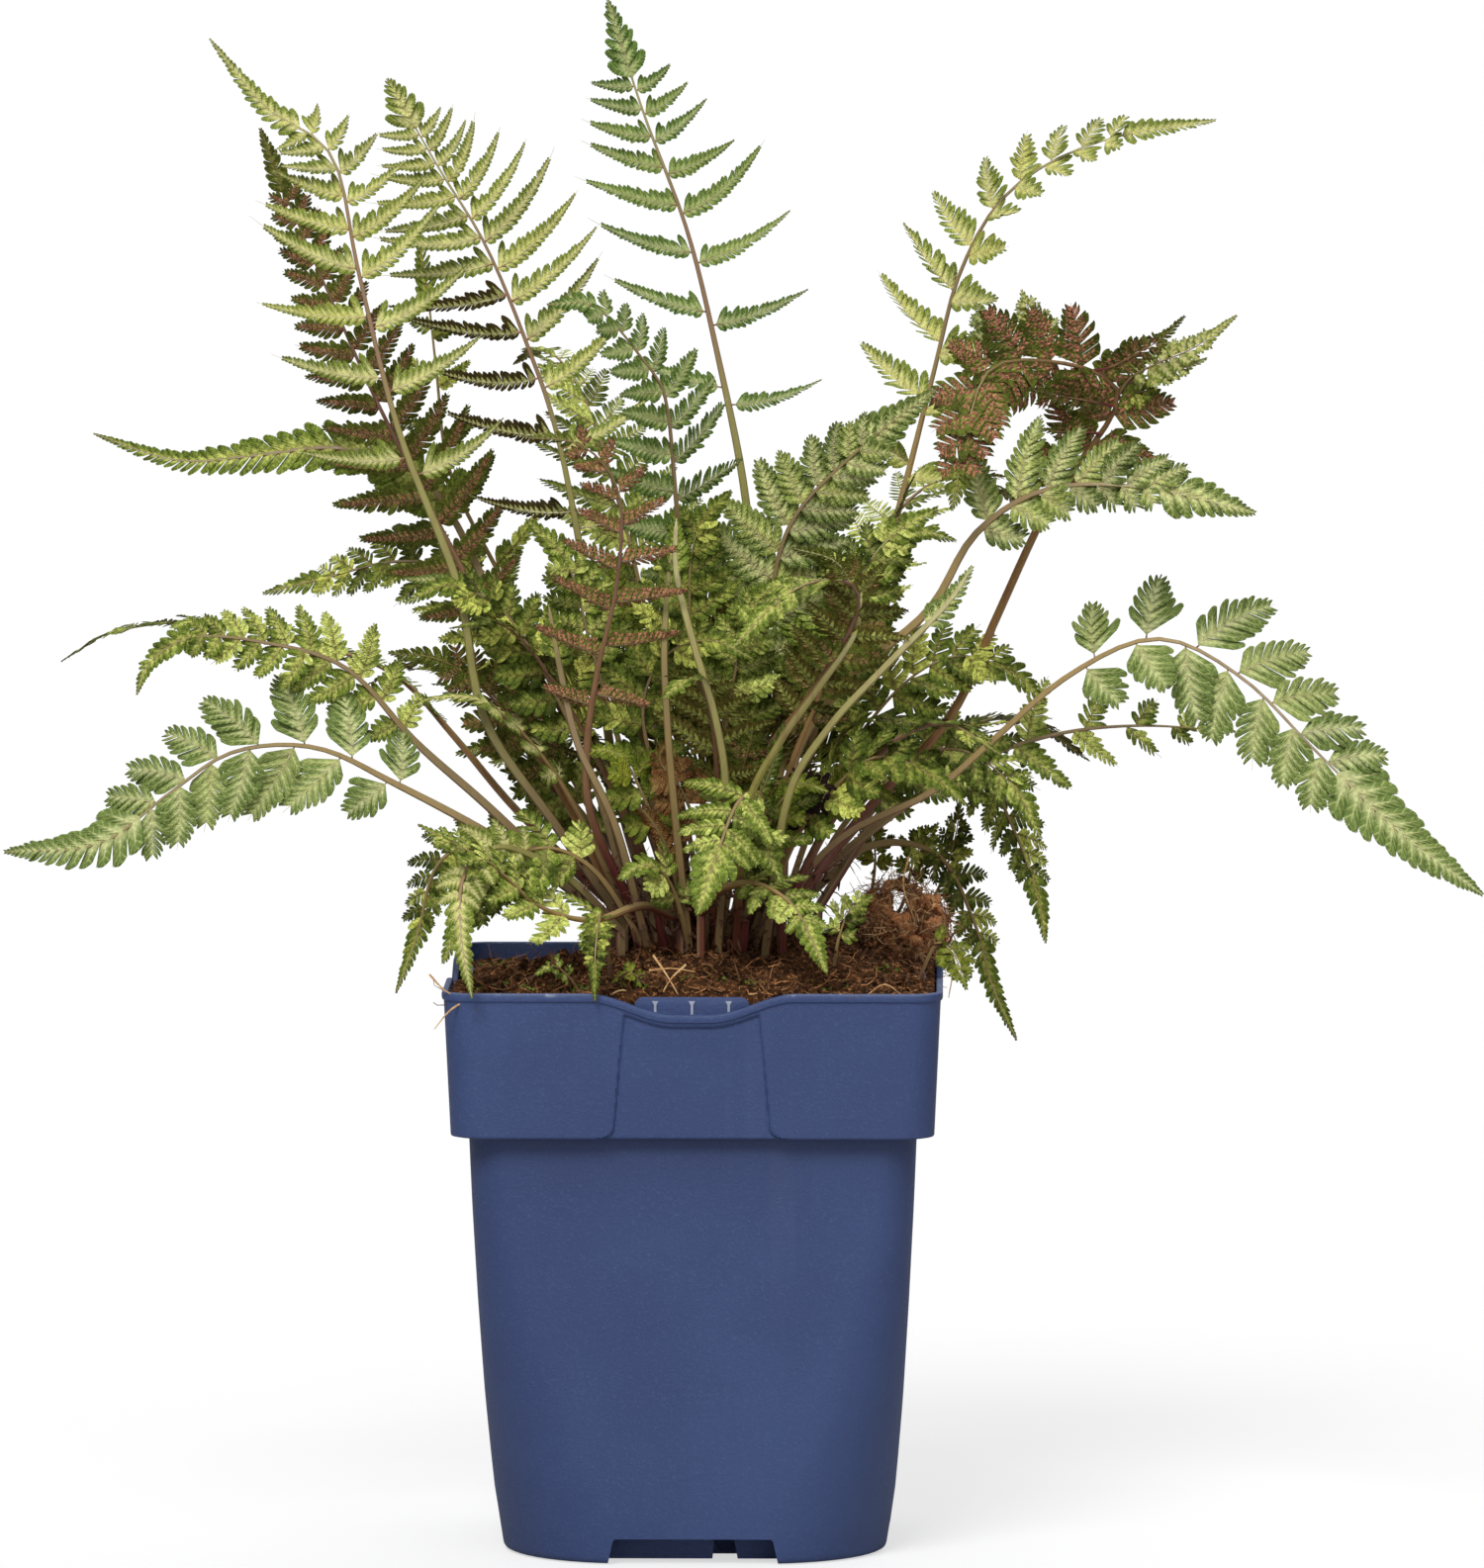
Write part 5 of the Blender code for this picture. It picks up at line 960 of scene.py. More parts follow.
# short leaves inside the mass, and hanging ones: line, upper side, blade start, length, width, look, stipe
inner = {
    "fertile_right": (((18, -10), (30, -18, 262), (44, -26, 300), (54, -32, 328), (50, -38, 344), (34, -44, 350)),
        fromCamera, 0.50, 18, 11, "fertile", "tan"),
    "green_right": (((22, 4), (36, 8, 266), (50, 6, 306), (62, 2, 336), (76, -4, 352), (90, -8, 350)), (0, -1, 0.5),
        0.50, 18, 13, "green", "tan"),
    "low_right": (((20, -14), (34, -26, 246), (48, -36, 266), (64, -44, 278), (82, -50, 272), (94, -54, 262)),
        (0, -0.8, 0.8), 0.42, 18, 12, "dark", "brown"),
    "young_right": (((18, -12), (30, -22, 240), (42, -30, 258), (56, -36, 268), (70, -40, 262)), (0, -1, 0.5), 0.55,
        13, 13, "young", "brown"),
    "young_low_right": (((10, -16), (18, -26, 238), (26, -36, 256), (36, -42, 268), (46, -46, 266)), (0, -1, 0.5),
        0.55, 12, 12, "young", "brown"),
    "young_left": (((-6, -16), (-12, -26, 244), (-18, -34, 264), (-26, -40, 278), (-38, -44, 280)), (0, -1, 0.5),
        0.5, 15, 14, "young", "brown"),
    "dry_centre": (((4, -14), (2, -24, 244), (-4, -32, 264), (-12, -38, 276), (-8, -42, 284)), (0.5, -1, 0.2), 0.5,
        13, 12, "dry", "brown"),
    "dry_low": (((-2, -16), (-8, -26, 240), (-16, -32, 256), (-24, -36, 262)), (-0.6, -1, 0.4), 0.5, 11, 10, "dry",
        "brown"),
    "black_right": (((14, -12), (24, -24, 244), (36, -34, 262), (46, -40, 268), (44, -42, 262)), (0.4, -1, 0.2),
        0.62, 13, 11, "black", "brown"),
    "bright_back": (((-8, 4), (-16, 2, 262), (-24, -2, 304), (-28, -6, 330), (-26, -10, 346)), (0, -1, 0.2), 0.55,
        17, 15, "young", "brown"),
    "grey_centre": (((4, -12), (10, -22, 246), (16, -30, 270), (20, -36, 286), (16, -42, 294)), fromCamera, 0.44,
        14, 11, "fertile", "brown"),
    "dark_centre": (((-6, -10), (-12, -18, 258), (-18, -28, 292), (-10, -36, 312), (6, -42, 318), (20, -46, 312)),
        (0, -1, 0.4), 0.46, 20, 13, "dark", "red"),
    "green_centre": (((2, -4), (8, -10, 266), (14, -20, 306), (22, -30, 330), (34, -38, 340)), toCamera, 0.46, 20,
        14, "green", "red"),
    "dark_left": (((-20, -8), (-34, -12, 262), (-50, -18, 300), (-66, -24, 326), (-84, -30, 336), (-100, -34, 330)),
        (0, -1, 0.6), 0.46, 20, 13, "dark", "red"),
    "fertile_side": (((-22, -4), (-44, -8, 256), (-66, -12, 290), (-86, -18, 308), (-106, -24, 312)), fromCamera,
        0.48, 17, 11, "fertile", "brown"),
    "green_left": (((-18, 10), (-34, 12, 244), (-50, 12, 264), (-66, 10, 276), (-84, 8, 274)), (0, -1, 0.5), 0.40,
        18, 13, "green", "brown"),
    "pale_left": (((-20, -6), (-40, -14, 254), (-58, -22, 282), (-76, -28, 296), (-98, -34, 296)), (0, -0.4, 1),
        0.50, 12, 9, "pale", "brown"),
    "silver_left": (((-16, -2), (-36, -6, 268), (-60, -12, 312), (-80, -20, 334), (-100, -28, 338)), (0, -1, 0.6),
        0.56, 13, 11, "silver", "red"),
    "right_mass": (((26, 14), (44, 14, 258), (66, 12, 292), (88, 10, 308), (108, 8, 304), (122, 6, 292)),
        (0.1, -1, 0.6), 0.40, 24, 17, "dark", "brown"),
    "right_mass_low": (((30, 22), (50, 24, 246), (72, 26, 268), (92, 26, 274), (110, 22, 262), (120, 18, 244)),
        (0.2, -1, 0.5), 0.42, 22, 15, "green", "brown"),
    "right_high": (((18, 2), (30, 0, 270), (48, -6, 318), (64, -14, 348), (84, -20, 362)), (0, -1, 0.5), 0.5, 24,
        16, "green", "tan"),
    "left_fill": (((-14, 0), (-24, -6, 268), (-36, -12, 312), (-44, -18, 342), (-58, -24, 358)), (0, -1, 0.4), 0.5,
        22, 15, "green", "red"),
    "centre_high": (((2, 6), (2, 0, 274), (-2, -8, 322), (0, -16, 352), (12, -24, 368)), (0, -1, 0.3), 0.5, 24, 16,
        "dark", "brown"),
    "low_left": (((-16, -16), (-34, -30, 236), (-52, -42, 246), (-68, -52, 238), (-80, -58, 222), (-86, -62, 208)),
        (-0.2, -1, 0.6), 0.38, 20, 13, "green", "brown"),
    "low_centre": (((8, -18), (14, -32, 240), (18, -42, 252), (24, -50, 248), (30, -56, 236)), (0, -1, 0.6), 0.36,
        18, 13, "green", "brown"),
    "front_small": (((-2, -20), (-8, -34, 232), (-16, -44, 240), (-26, -50, 236)), (0, -1, 0.8), 0.36, 14, 11,
        "green", "brown"),
    "stem_light": (((24, -22), (32, -46, 262), (46, -54, 288), (66, -56, 310), (87, -52, 331), (96, -46, 344)),
        (0, -1, 0.4), 0.84, 10, 9, "silver", "olive"),
    "stem_mid": (((14, -20), (18, -44, 258), (30, -54, 284), (44, -56, 304), (56, -55, 322), (58, -52, 338)),
        fromCamera, 0.8, 13, 9, "fertile", "olive"),
    "stem_dark": (((-2, -20), (-7, -40, 262), (-9, -50, 290), (-10, -52, 318), (-8, -48, 348)), (0, -1, 0.3), 0.88,
        10, 9, "green", "brown"),
    "stem_pale": (((8, -20), (11, -42, 262), (8, -52, 290), (0, -54, 318), (-6, -50, 342), (-6, -44, 360)),
        (0, -1, 0.3), 0.88, 10, 9, "green", "olive"),
    "stem_left": (((-16, -18), (-27, -36, 252), (-40, -44, 282), (-46, -46, 308), (-50, -44, 330)), (0, -1, 0.3),
        0.86, 10, 9, "dark", "red"),
    "curl_long": (((146, -8, 400), (151, -11, 407), (160, -14, 412), (173, -18, 418), (187, -22, 429)),
        (0, -1, 0.6), 0.2, 7, 5, "pale", "red"),
    "curl_brown": (((136, -12, 409), (144, -16, 411), (153, -20, 416), (161, -23, 421), (169, -26, 429)),
        (0, 1, 0.3), 0.15, 6, 5, "fertile", "red"),
    "curl_low": (((148, -8, 403), (154, -12, 407), (163, -15, 409), (170, -17, 411), (177, -19, 414)), (0, -1, 0.8),
        0.2, 6, 5, "pale", "red"),
    "curl_dark": (((146, -6, 399), (150, -8, 401), (155, -10, 402), (160, -12, 403)), (0, -1, 0.3), 0.1, 7, 5,
        "dark", "red"),
    "curl_inner": (((144, -9, 397), (136, -14, 399), (126, -18, 401), (114, -22, 404)), (0, 1, 0.5), 0.1, 6, 5,
        "fertile", "red"),
    "curl_under": (((140, -5, 387), (133, -9, 388), (127, -12, 388), (120, -14, 389)), (0, 1, 0.4), 0.1, 6, 5,
        "fertile", "red"),
    "curl_up": (((106, -20, 413), (104, -21, 420), (101, -22, 427), (97, -22, 433)), (0, -1, 0.2), 0.15, 9, 7,
        "silver", "red"),
    "curl_peak": (((119, -17, 413), (118, -18, 421), (116, -19, 429), (113, -19, 437)), (0, -1, 0.2), 0.15, 9, 7,
        "pale", "red"),
    "hanging": (((-28, -50), (-31, -64, 224), (-32, -78, 223), (-33, -86, 213), (-33, -89, 198)), (-0.2, -1, 0.2),
        0.5, 6, 6, "dark", "brown"),
    "seed_back": (((58, 66), (60, 66, 216), (62, 65, 232), (60, 62, 246)), (0, -1, 0.3), 0.55, 9, 10, "young",
        "brown"),
    "seed_high": (((66, 70), (72, 70, 216), (76, 69, 232), (84, 66, 244)), (0, -1, 0.3), 0.5, 9, 9, "green",
        "brown"),
    "seed_tall": (((74, 68), (84, 70, 220), (90, 70, 238), (92, 68, 252)), (-0.4, -1, 0.2), 0.5, 8, 8, "dark",
        "brown"),
    "seed_side": (((48, -30), (50, -34, 214), (54, -36, 224), (62, -38, 229)), (0, -1, 0.5), 0.4, 8, 8, "green",
        "brown"),
    "seed_rim": (((78, -26), (84, -32, 212), (90, -36, 208), (94, -40, 197)), (0.2, -1, 0.3), 0.4, 8, 8, "young",
        "brown"),
    "seed_left": (((-40, -62), (-43, -66, 204), (-48, -70, 208), (-54, -72, 205)), (0, -1, 0.9), 0.3, 5, 5, "green",
        "brown"),
    "seed_front": (((-16, -64), (-18, -68, 203), (-22, -72, 206), (-27, -74, 203)), (0, -1, 0.9), 0.3, 4.5, 4.5,
        "young", "brown"),
}
for innerName, (line, upper, start, length, width, look, stipe) in inner.items():
    base = line[0] if len(line[0]) == 3 else (*line[0], soilHeight(*line[0]))
    small = length <= 9
    fronds["inner_" + innerName] = {
        "spine": smoothLine((base, *line[1:]), spacing["samples"]), "extra": True, "upper": upper, "start": start,
        "length": length, "width": width, "step": 4 if small else 9.5, "full": 1.35, "switch": 3 if small else 8,
        "taper": 1.7, "look": look, "stipe": stipe, "thick": 1.05 if start > 0.75 else 0.5 if small else 0.9,
        "loose": 16, "teeth": 4, "web": 0.7, "gap": 1.35}

understory = {"count": 12, "reach": (28, 66), "top": (280, 352), "crown": (17, 10), "middle": (6, 14),
              "climb": ((0.0, 0.0), (0.2, 0.42), (0.5, 0.84), (0.78, 1.0), (1.05, 0.93)),  # share out, share up
              "looks": ("green", "dark", "silver", "green", "dark", "young", "green"), "goldenTurn": 2.39996}
for k in range(understory["count"]):
    turn = k * understory["goldenTurn"] + 0.6
    reach = draw.uniform(*understory["reach"])
    high = draw.uniform(*understory["top"]) - 0.25 * reach
    (mx, my), (wide, deep) = understory["middle"], understory["crown"]
    rx, ry = mx + wide * math.cos(turn), my + deep * math.sin(turn)
    low = soilHeight(rx, ry)
    bend = draw.uniform(-0.35, 0.35)
    line = []
    for share, climb in understory["climb"]:
        angle = turn + bend * share
        line.append((rx + reach * share * math.cos(angle), ry + 0.8 * reach * share * math.sin(angle),
                     low + (high - low) * climb))
    fronds["under_%02d" % k] = {
        "spine": smoothLine(line, spacing["samples"]), "extra": True, "start": 0.42, "length": draw.uniform(18, 25),
        "width": draw.uniform(13, 16), "step": draw.uniform(9, 11), "full": 1.3, "switch": 11, "taper": 1.7,
        "look": understory["looks"][k % 7], "stipe": ("red", "brown")[k % 2], "thick": 0.8, "loose": 20, "teeth": 4,
        "web": 0.7, "gap": 1.35}

total = sum([growFrond(frondName) for frondName in fronds])
print("fronds done,", total, "triangles")

potShape = {
    "bandBottom": 149.5, "cornerSteps": 12, "panelDepth": 1.2, "dipDepth": 7.2, "dipHalf": 35.5,
    "panel": {"half": 26.7, "top": 196.0, "bottom": 154, "narrows": 3.3, "flare": 4.3},
    # height, half width, corner radius; the inside comes after the rim
    "outside": ((0.0, 65.4, 43.0), (0.5, 66.2, 43.0), (1.4, 66.7, 43.0), (2.6, 67.0, 42.8), (14.0, 68.6, 42.0),
                (22.0, 69.7, 40.4)),
    "body": ((27, 55, 89.4, 124, 146.5), (70.2, 72.4, 74.4, 76.1, 77.0)),
    "rim": ((196.4, 85.25, 10.4), (196.9, 85.35, 10.5), (197.3, 85.85, 10.9), (198.0, 86.0, 11.0),
            (199.2, 86.0, 11.0), (199.75, 85.8, 10.8), (200.0, 85.3, 10.4), (200.0, 84.3, 9.4), (199.75, 83.9, 9.0),
            (199.2, 83.7, 8.5)),
    "inside": ((190.0, 83.3, 8.7), (170.0, 82.2, 9.4), (152.4, 81.2, 10.0), (151.4, 76.0, 11.6), (149.0, 75.2, 12.5),
               (80.0, 71.6, 27.0), (26.0, 67.8, 38.0), (13.0, 66.4, 41.0), (12.0, 64.4, 41.0)),
}


def potSections():
    sections = list(potShape["outside"])
    for z in np.linspace(34, 146.5, 15):  # the body, whose corners tighten upwards
        share = (z - 27) / (149.5 - 27)
        sections.append((z, np.interp(z, *potShape["body"]), 13.5 + 26.0 * (1 - share) ** 1.9))
    low = potShape["bandBottom"]
    sections += [(148.6, 77.1, 13.7), (low - 0.1, 77.2, 13.5), (low, 77.5, 13.4), (low + 0.02, 82.4, 12.0),
                 (low + 0.15, 82.9, 12.0), (low + 0.6, 83.15, 12.0)]
    rows = list(np.arange(low + 1.1, low + 6.6, 0.55)) + list(np.arange(low + 7.4, 186, 2.6))
    rows += [188.0, 190.0, 192.0, 193.6, 194.9, 195.7]
    for z in rows:
        share = (z - low - 0.6) / (196.4 - low - 0.6)
        sections.append((z, 83.15 + 2.1 * share, 12.0 - 1.6 * share))
    return sections + list(potShape["rim"]) + list(potShape["inside"])


def potColumns():
    # close together where the panel's edges and the dip are
    half = [0, 3.5, 7, 10.5, 13.5, 16, 18.5, 20.5, *np.arange(22.2, 32.4, 0.6), 33.4, 34.6, 36, 38, 42, 50, 60]
    return np.array([-x for x in half[:0:-1]] + half) / 73.0


def easeStep(value, low, high):
    share = np.clip((value - low) / (high - low), 0, 1)
    return share * share * (3 - 2 * share)


def ringOf(z, half, radius):
    # one rounded square with the rim's dip in it; potMesh presses the band's sunk panel in afterwards
    flat = half - radius
    side = [(x * flat, half) for x in potColumns()]
    angles = np.radians(np.linspace(90, 0, potShape["cornerSteps"] + 2))
    corner = [(flat + radius * math.cos(a), flat + radius * math.sin(a)) for a in angles]
    points = []
    for along, away in side + corner:
        lift = np.clip(1 - abs(along) / potShape["dipHalf"], 0, 1) if away >= half - 0.01 else 0
        dip = potShape["dipDepth"] * float(easeStep(lift, 0, 0.82))
        down = dip * float(easeStep(z, 176, 196.6))
        points.append([along, away, z - down])
    return np.array(points)


def panelMask(along, z):
    panel = potShape["panel"]
    above = z - panel["bottom"]
    flare = panel["flare"] * (1 - math.sqrt(min(max(1 - (above / 4) ** 2, 0), 1)))
    edge = panel["half"] + (-above / 38 * panel["narrows"] if above > 0 else flare)
    return easeStep(edge - np.abs(along), -0.35, 0.35) * easeStep(panel["top"] - z, 0, 0.9)


def potMesh():
    rings, inside = [], False
    for z, half, radius in potSections():
        quarter = ringOf(z, half, radius)
        if potShape["bandBottom"] < z < 196.2 and not inside:
            flat = quarter[:, 1] >= half - 0.01
            quarter[:, 1] -= potShape["panelDepth"] * panelMask(quarter[:, 0], z) * flat
        inside = inside or z >= 199.9  # past the top of the rim
        ring = []
        for turn in range(4):
            c, s = math.cos(turn * math.pi / 2), math.sin(turn * math.pi / 2)
            ring.append(np.stack([quarter[:, 0] * c + quarter[:, 1] * s, -quarter[:, 0] * s + quarter[:, 1] * c,
                                  quarter[:, 2]], axis=1))
        rings.append(np.concatenate(ring))
    count = len(rings[0])
    points = np.concatenate(rings)
    faces = []
    for k in range(len(rings) - 1):
        for i in range(count):
            j = (i + 1) % count
            faces.append((k * count + j, k * count + i, (k + 1) * count + i, (k + 1) * count + j))
    faces.append(tuple(range(count)))
    faces.append(tuple(reversed(range((len(rings) - 1) * count, len(rings) * count))))
    mesh = bpy.data.meshes.new("pot")
    mesh.from_pydata((points * mm).tolist(), [], faces)
    return mesh


potPaint = Paint("bluePlastic", Roughness=0.5)
grain = potPaint.noise(900, 4, 0.7)
cloud = potPaint.noise(9, 4, 0.6)
height = potPaint.wire.node("SeparateXYZ", {}, {0: potPaint.place}, 2)
potColor = potPaint.mix(cloud.ease(0.3, 0.7), rgb(57, 74, 122), rgb(64, 84, 134))
potColor = potPaint.mix(grain.ease(0.5, 0.72) * 0.34, potColor, rgb(92, 112, 160))
specks = potPaint.cells(520).ease(0.10, 0.02) * potPaint.noise(60).ease(0.5, 0.62)
potColor = potPaint.mix(specks * 0.5, potColor, rgb(132, 142, 168))
soiled = potPaint.noise(240).ease(0.66, 0.74) * height.ease(0.186, 0.2)
potColor = potPaint.mix(soiled * 0.5, potColor, rgb(92, 70, 52))
# pale patches on the rim's top: rubbed wear, and painted highlight where light catches the bead
wornAndHighlight = potPaint.noise(130, 4, 0.7).ease(0.55, 0.7) * height.ease(0.1984, 0.1998)
# painted highlight: a thin pale line along the rim's top edge, where light catches the bead
potColor = potPaint.mix(height.ease(0.1992, 0.1999) * 0.4, potColor, rgb(132, 144, 178))
potColor = potPaint.mix(wornAndHighlight * 0.8, potColor, rgb(176, 184, 204))
streaks = potPaint.noise(70, 3, 0.6, potPaint.place.stretch((1, 1, 0.05))).ease(0.58, 0.72)
potColor = potPaint.mix(streaks * 0.12, potColor, rgb(86, 98, 132))
# painted shade on the body just under the band's overhang
shadeUnderBand = height.ease(0.118, 0.148) * height.ease(0.1502, 0.1498)
potColor = potPaint.mix(shadeUnderBand * 0.22, potColor, rgb(30, 44, 82))
potPaint.put("Base Color", potColor)
potPaint.put("Roughness", grain.ease(0.3, 0.7, 0.42, 0.6))
potPaint.bump(grain + potPaint.noise(2600, 2) * 0.5, 0.00036, 0.7)


def pushedProfile(name, profile, front, back, turn=0):
    # a flat outline in x and z, pushed out along y and turned to one of the four sides
    mesh = bpy.data.meshes.new(name)
    mesh.from_pydata([(x * mm, front * mm, z * mm) for x, z in profile], [], [tuple(range(len(profile)))])
    piece = addPiece(name, mesh)
    pickOnly(piece)
    bpy.ops.object.mode_set(mode="EDIT")
    bpy.ops.mesh.select_all(action="SELECT")
    bpy.ops.mesh.extrude_region_move(TRANSFORM_OT_translate={"value": (0, (back - front) * mm, 0)})
    bpy.ops.mesh.select_all(action="SELECT")
    bpy.ops.transform.rotate(value=turn * math.pi / 2, orient_axis="Z", center_override=(0, 0, 0))
    bpy.ops.mesh.normals_make_consistent(inside=False)
    bpy.ops.object.mode_set(mode="OBJECT")
    return piece


def cut(piece, cutters, operation="DIFFERENCE"):
    for cutter in cutters:
        pickOnly(piece)
        step = piece.modifiers.new("cut", "BOOLEAN")
        step.object, step.solver, step.operation = cutter, "EXACT", operation
        bpy.ops.object.modifier_apply(modifier="cut")
        bpy.data.objects.remove(cutter, do_unlink=True)


potPiece = addPiece("potWall", potMesh())
footGap = {"low": 29.6, "high": 27.7, "top": 8.8, "inner": -53.5, "drain": (7.3, 13.8), "drainTop": 8.2}
cutters = []
for turn in range(4):
    low, high, top = footGap["low"], footGap["high"], footGap["top"]
    gap = ((-low, -1), (low, -1), (high, top - 0.8), (high - 0.8, top), (0.8 - high, top), (-high, top - 0.8))
    cutters.append(pushedProfile("gap", gap, -90, footGap["inner"], turn))
    (left, right), top = footGap["drain"], footGap["drainTop"]
    drain = ((left - 0.9, -1), (right + 1.6, -1), (right, top), (left, top))
    cutters.append(pushedProfile("drain", drain, -56, -42, turn))
cut(potPiece, cutters)
potPiece.data.materials.append(potPaint.material)
finishPiece(potPiece, 32, "pot")

# the label tabs behind the rim's dips, each with three moulded ticks
tabShape = {"half": 19.8, "face": -79.6, "thick": 1.5, "foot": 184.0, "top": 198.2, "round": 3.2,
            "ticks": (-12.6, 0.0, 12.6), "tick": (0.42, 5.6, 196.9)}
# the moulded ticks are painted pale: a painted highlight where light catches the raised ticks
tickHighlightPaint = Paint("tickHighlight", Roughness=0.5)
tickHighlightPaint.put("Base Color", tickHighlightPaint.mix(tickHighlightPaint.noise(600), rgb(150, 160, 186), rgb(204, 210, 224)))
tickHighlightPaint.bump(tickHighlightPaint.noise(900, 2), 0.0001, 0.4)
for turn in range(4):
    half, top, bow = tabShape["half"], tabShape["top"], tabShape["round"]
    outline = [(-half, tabShape["foot"]), (half, tabShape["foot"])]
    for middle, start in ((half - bow, 0), (bow - half, 90)):
        for angle in np.radians(np.linspace(start, start + 90, 7)):
            outline.append((middle + bow * math.cos(angle), top - bow + bow * math.sin(angle)))
    tab = pushedProfile("tab_%d" % turn, outline, tabShape["face"], tabShape["face"] + tabShape["thick"], turn)
    shelf = ((0.4 - half, 184.4), (half - 0.4, 184.4), (half - 0.4, 188), (0.4 - half, 188))
    cut(tab, [pushedProfile("shelf", shelf, -83.2, tabShape["face"] + 0.6, turn)], "UNION")
    pickOnly(tab)
    edges = tab.modifiers.new("soft", "BEVEL")
    edges.width, edges.segments, edges.limit_method = 0.00035, 2, "ANGLE"
    edges.angle_limit = math.radians(40)
    bpy.ops.object.modifier_apply(modifier="soft")
    tab.data.materials.append(potPaint.material)
    finishPiece(tab, 35, None)
    wide, tall, high = tabShape["tick"]
    for k, middle in enumerate(tabShape["ticks"]):
        outline = [(middle + x, high + z) for x, z in ((-wide, -tall), (wide, -tall), (wide, -1.3), (wide + 0.7, 0),
                                                       (-wide - 0.7, 0), (-wide, -1.3))]
        tick = pushedProfile("tick_%d_%d" % (turn, k), outline, tabShape["face"] - 0.3, tabShape["face"] + 0.3, turn)
        tick.data.materials.append(tickHighlightPaint.material)
        finishPiece(tick, 35, None)
print("pot done")

def peatPaint(name, dark, mid, light, depth=0.0012):
    paint = Paint(name, Roughness=0.95, Specular_IOR_Level=0.15)
    lumps = paint.noise(160, 5, 0.65)
    color = paint.mix(lumps.ease(0.3, 0.6), dark, mid)
    color = paint.mix(paint.noise(620, 4, 0.7).ease(0.5, 0.72) * 0.75, color, light)
    grit = paint.cells(700).ease(0.2, 0.05) * paint.noise(90, 2).ease(0.5, 0.6)
    color = paint.mix(grit * 0.5, color, rgb(150, 120, 92))
    paint.put("Base Color", color)
    paint.put("Roughness", lumps.ease(0.3, 0.7, 0.85, 1.0))
    paint.bump(paint.noise(800, 5, 0.7) + paint.cells(350) * 0.6, depth, 0.9)
    return paint


soilPaint = peatPaint("peatSoil", rgb(12, 7, 4), rgb(84, 54, 31), rgb(236, 164, 106))
clumpPaint = peatPaint("looseClump", rgb(66, 40, 25), rgb(244, 168, 112), rgb(255, 226, 176), 0.0009)


def fibrePaint(name, dark, light):
    paint = Paint(name, Roughness=0.8)
    color = paint.mix(paint.split(paint.data("stipeMap"))[2], dark, light)
    color = paint.mix(paint.noise(500).ease(0.45, 0.6) * 0.8, color, dark)
    paint.put("Base Color", color)
    paint.put("Roughness", paint.noise(500, 2).ease(0.3, 0.7, 0.7, 0.9))
    paint.bump(paint.noise(2200, 2), 0.00012, 0.5)
    return paint


peatFibrePaint = fibrePaint("peatFibre", rgb(92, 56, 34), rgb(214, 150, 92))
clumpFibrePaint = fibrePaint("clumpFibre", rgb(120, 74, 46), rgb(255, 214, 154))
tanRootPaint = fibrePaint("tanRoot", rgb(196, 138, 84), rgb(246, 206, 146))

soilBed = {"half": 83.1, "round": 8.2, "cells": 124, "deep": 150.0,
           "slot": (20.3, 77.9, 183.0)}  # behind each label tab: half width, how far out, floor


def rough(x, y, z, scale, octaves):
    return noise.fractal(Vector((x, y, z)) * scale, 0.6, 2.1, octaves)


def bedHeight(x, y):
    height = soilHeight(x, y)
    height -= 9 * math.exp(-((x - 67) ** 2 + (y - 50) ** 2) / 392)  # lower under the loose clump
    height += 1.7 * rough(x, y, 3, 0.07, 3) + 1.1 * rough(x, y, 9, 0.25, 3) + 0.5 * rough(x, y, 1, 0.8, 2)
    edge = max(abs(x), abs(y))
    top = 198.6 if y < 60 else 194.5
    height = min(height, top + max(0, 79 - edge) * 0.55 + 0.8 * rough(x, y, 5, 0.3, 2))
    slotHalf, slotIn, slotFloor = soilBed["slot"]
    for along, away in ((x, abs(y)), (y, abs(x))):
        if abs(along) < slotHalf and away > slotIn:
            height = slotFloor
    return height


def makeSoil():
    half, bow, cells = soilBed["half"], soilBed["round"], soilBed["cells"]
    grid = np.linspace(-half, half, cells)
    inner = half - bow
    points = []
    for y in grid:
        for x in grid:
            dx, dy = max(abs(x) - inner, 0), max(abs(y) - inner, 0)
            far = math.hypot(dx, dy)
            px, py = x, y
            if dx > 0 and dy > 0 and far > bow:
                px = math.copysign(inner + dx * bow / far, x)
                py = math.copysign(inner + dy * bow / far, y)
            points.append((px, py, bedHeight(px, py)))
    faces = []
    for j in range(cells - 1):
        for i in range(cells - 1):
            a = j * cells + i
            faces += [(a, a + 1, a + cells + 1), (a, a + cells + 1, a + cells)]
    rim = [*range(cells), *range(2 * cells - 1, cells * cells, cells),
           *range(cells * cells - 2, cells * cells - cells - 1, -1), *range((cells - 2) * cells, 0, -cells)]
    base = len(points)
    points += [(points[i][0] * 0.86, points[i][1] * 0.86, soilBed["deep"]) for i in rim]
    centre = len(points)
    points.append((0, 0, soilBed["deep"]))
    count = len(rim)
    for k in range(count):
        n = (k + 1) % count
        faces += [(rim[k], base + k, base + n), (rim[k], base + n, rim[n]), (centre, base + n, base + k)]
    meshPiece("soilBed", points, faces, [soilPaint], None, 60, "soil")


makeSoil()


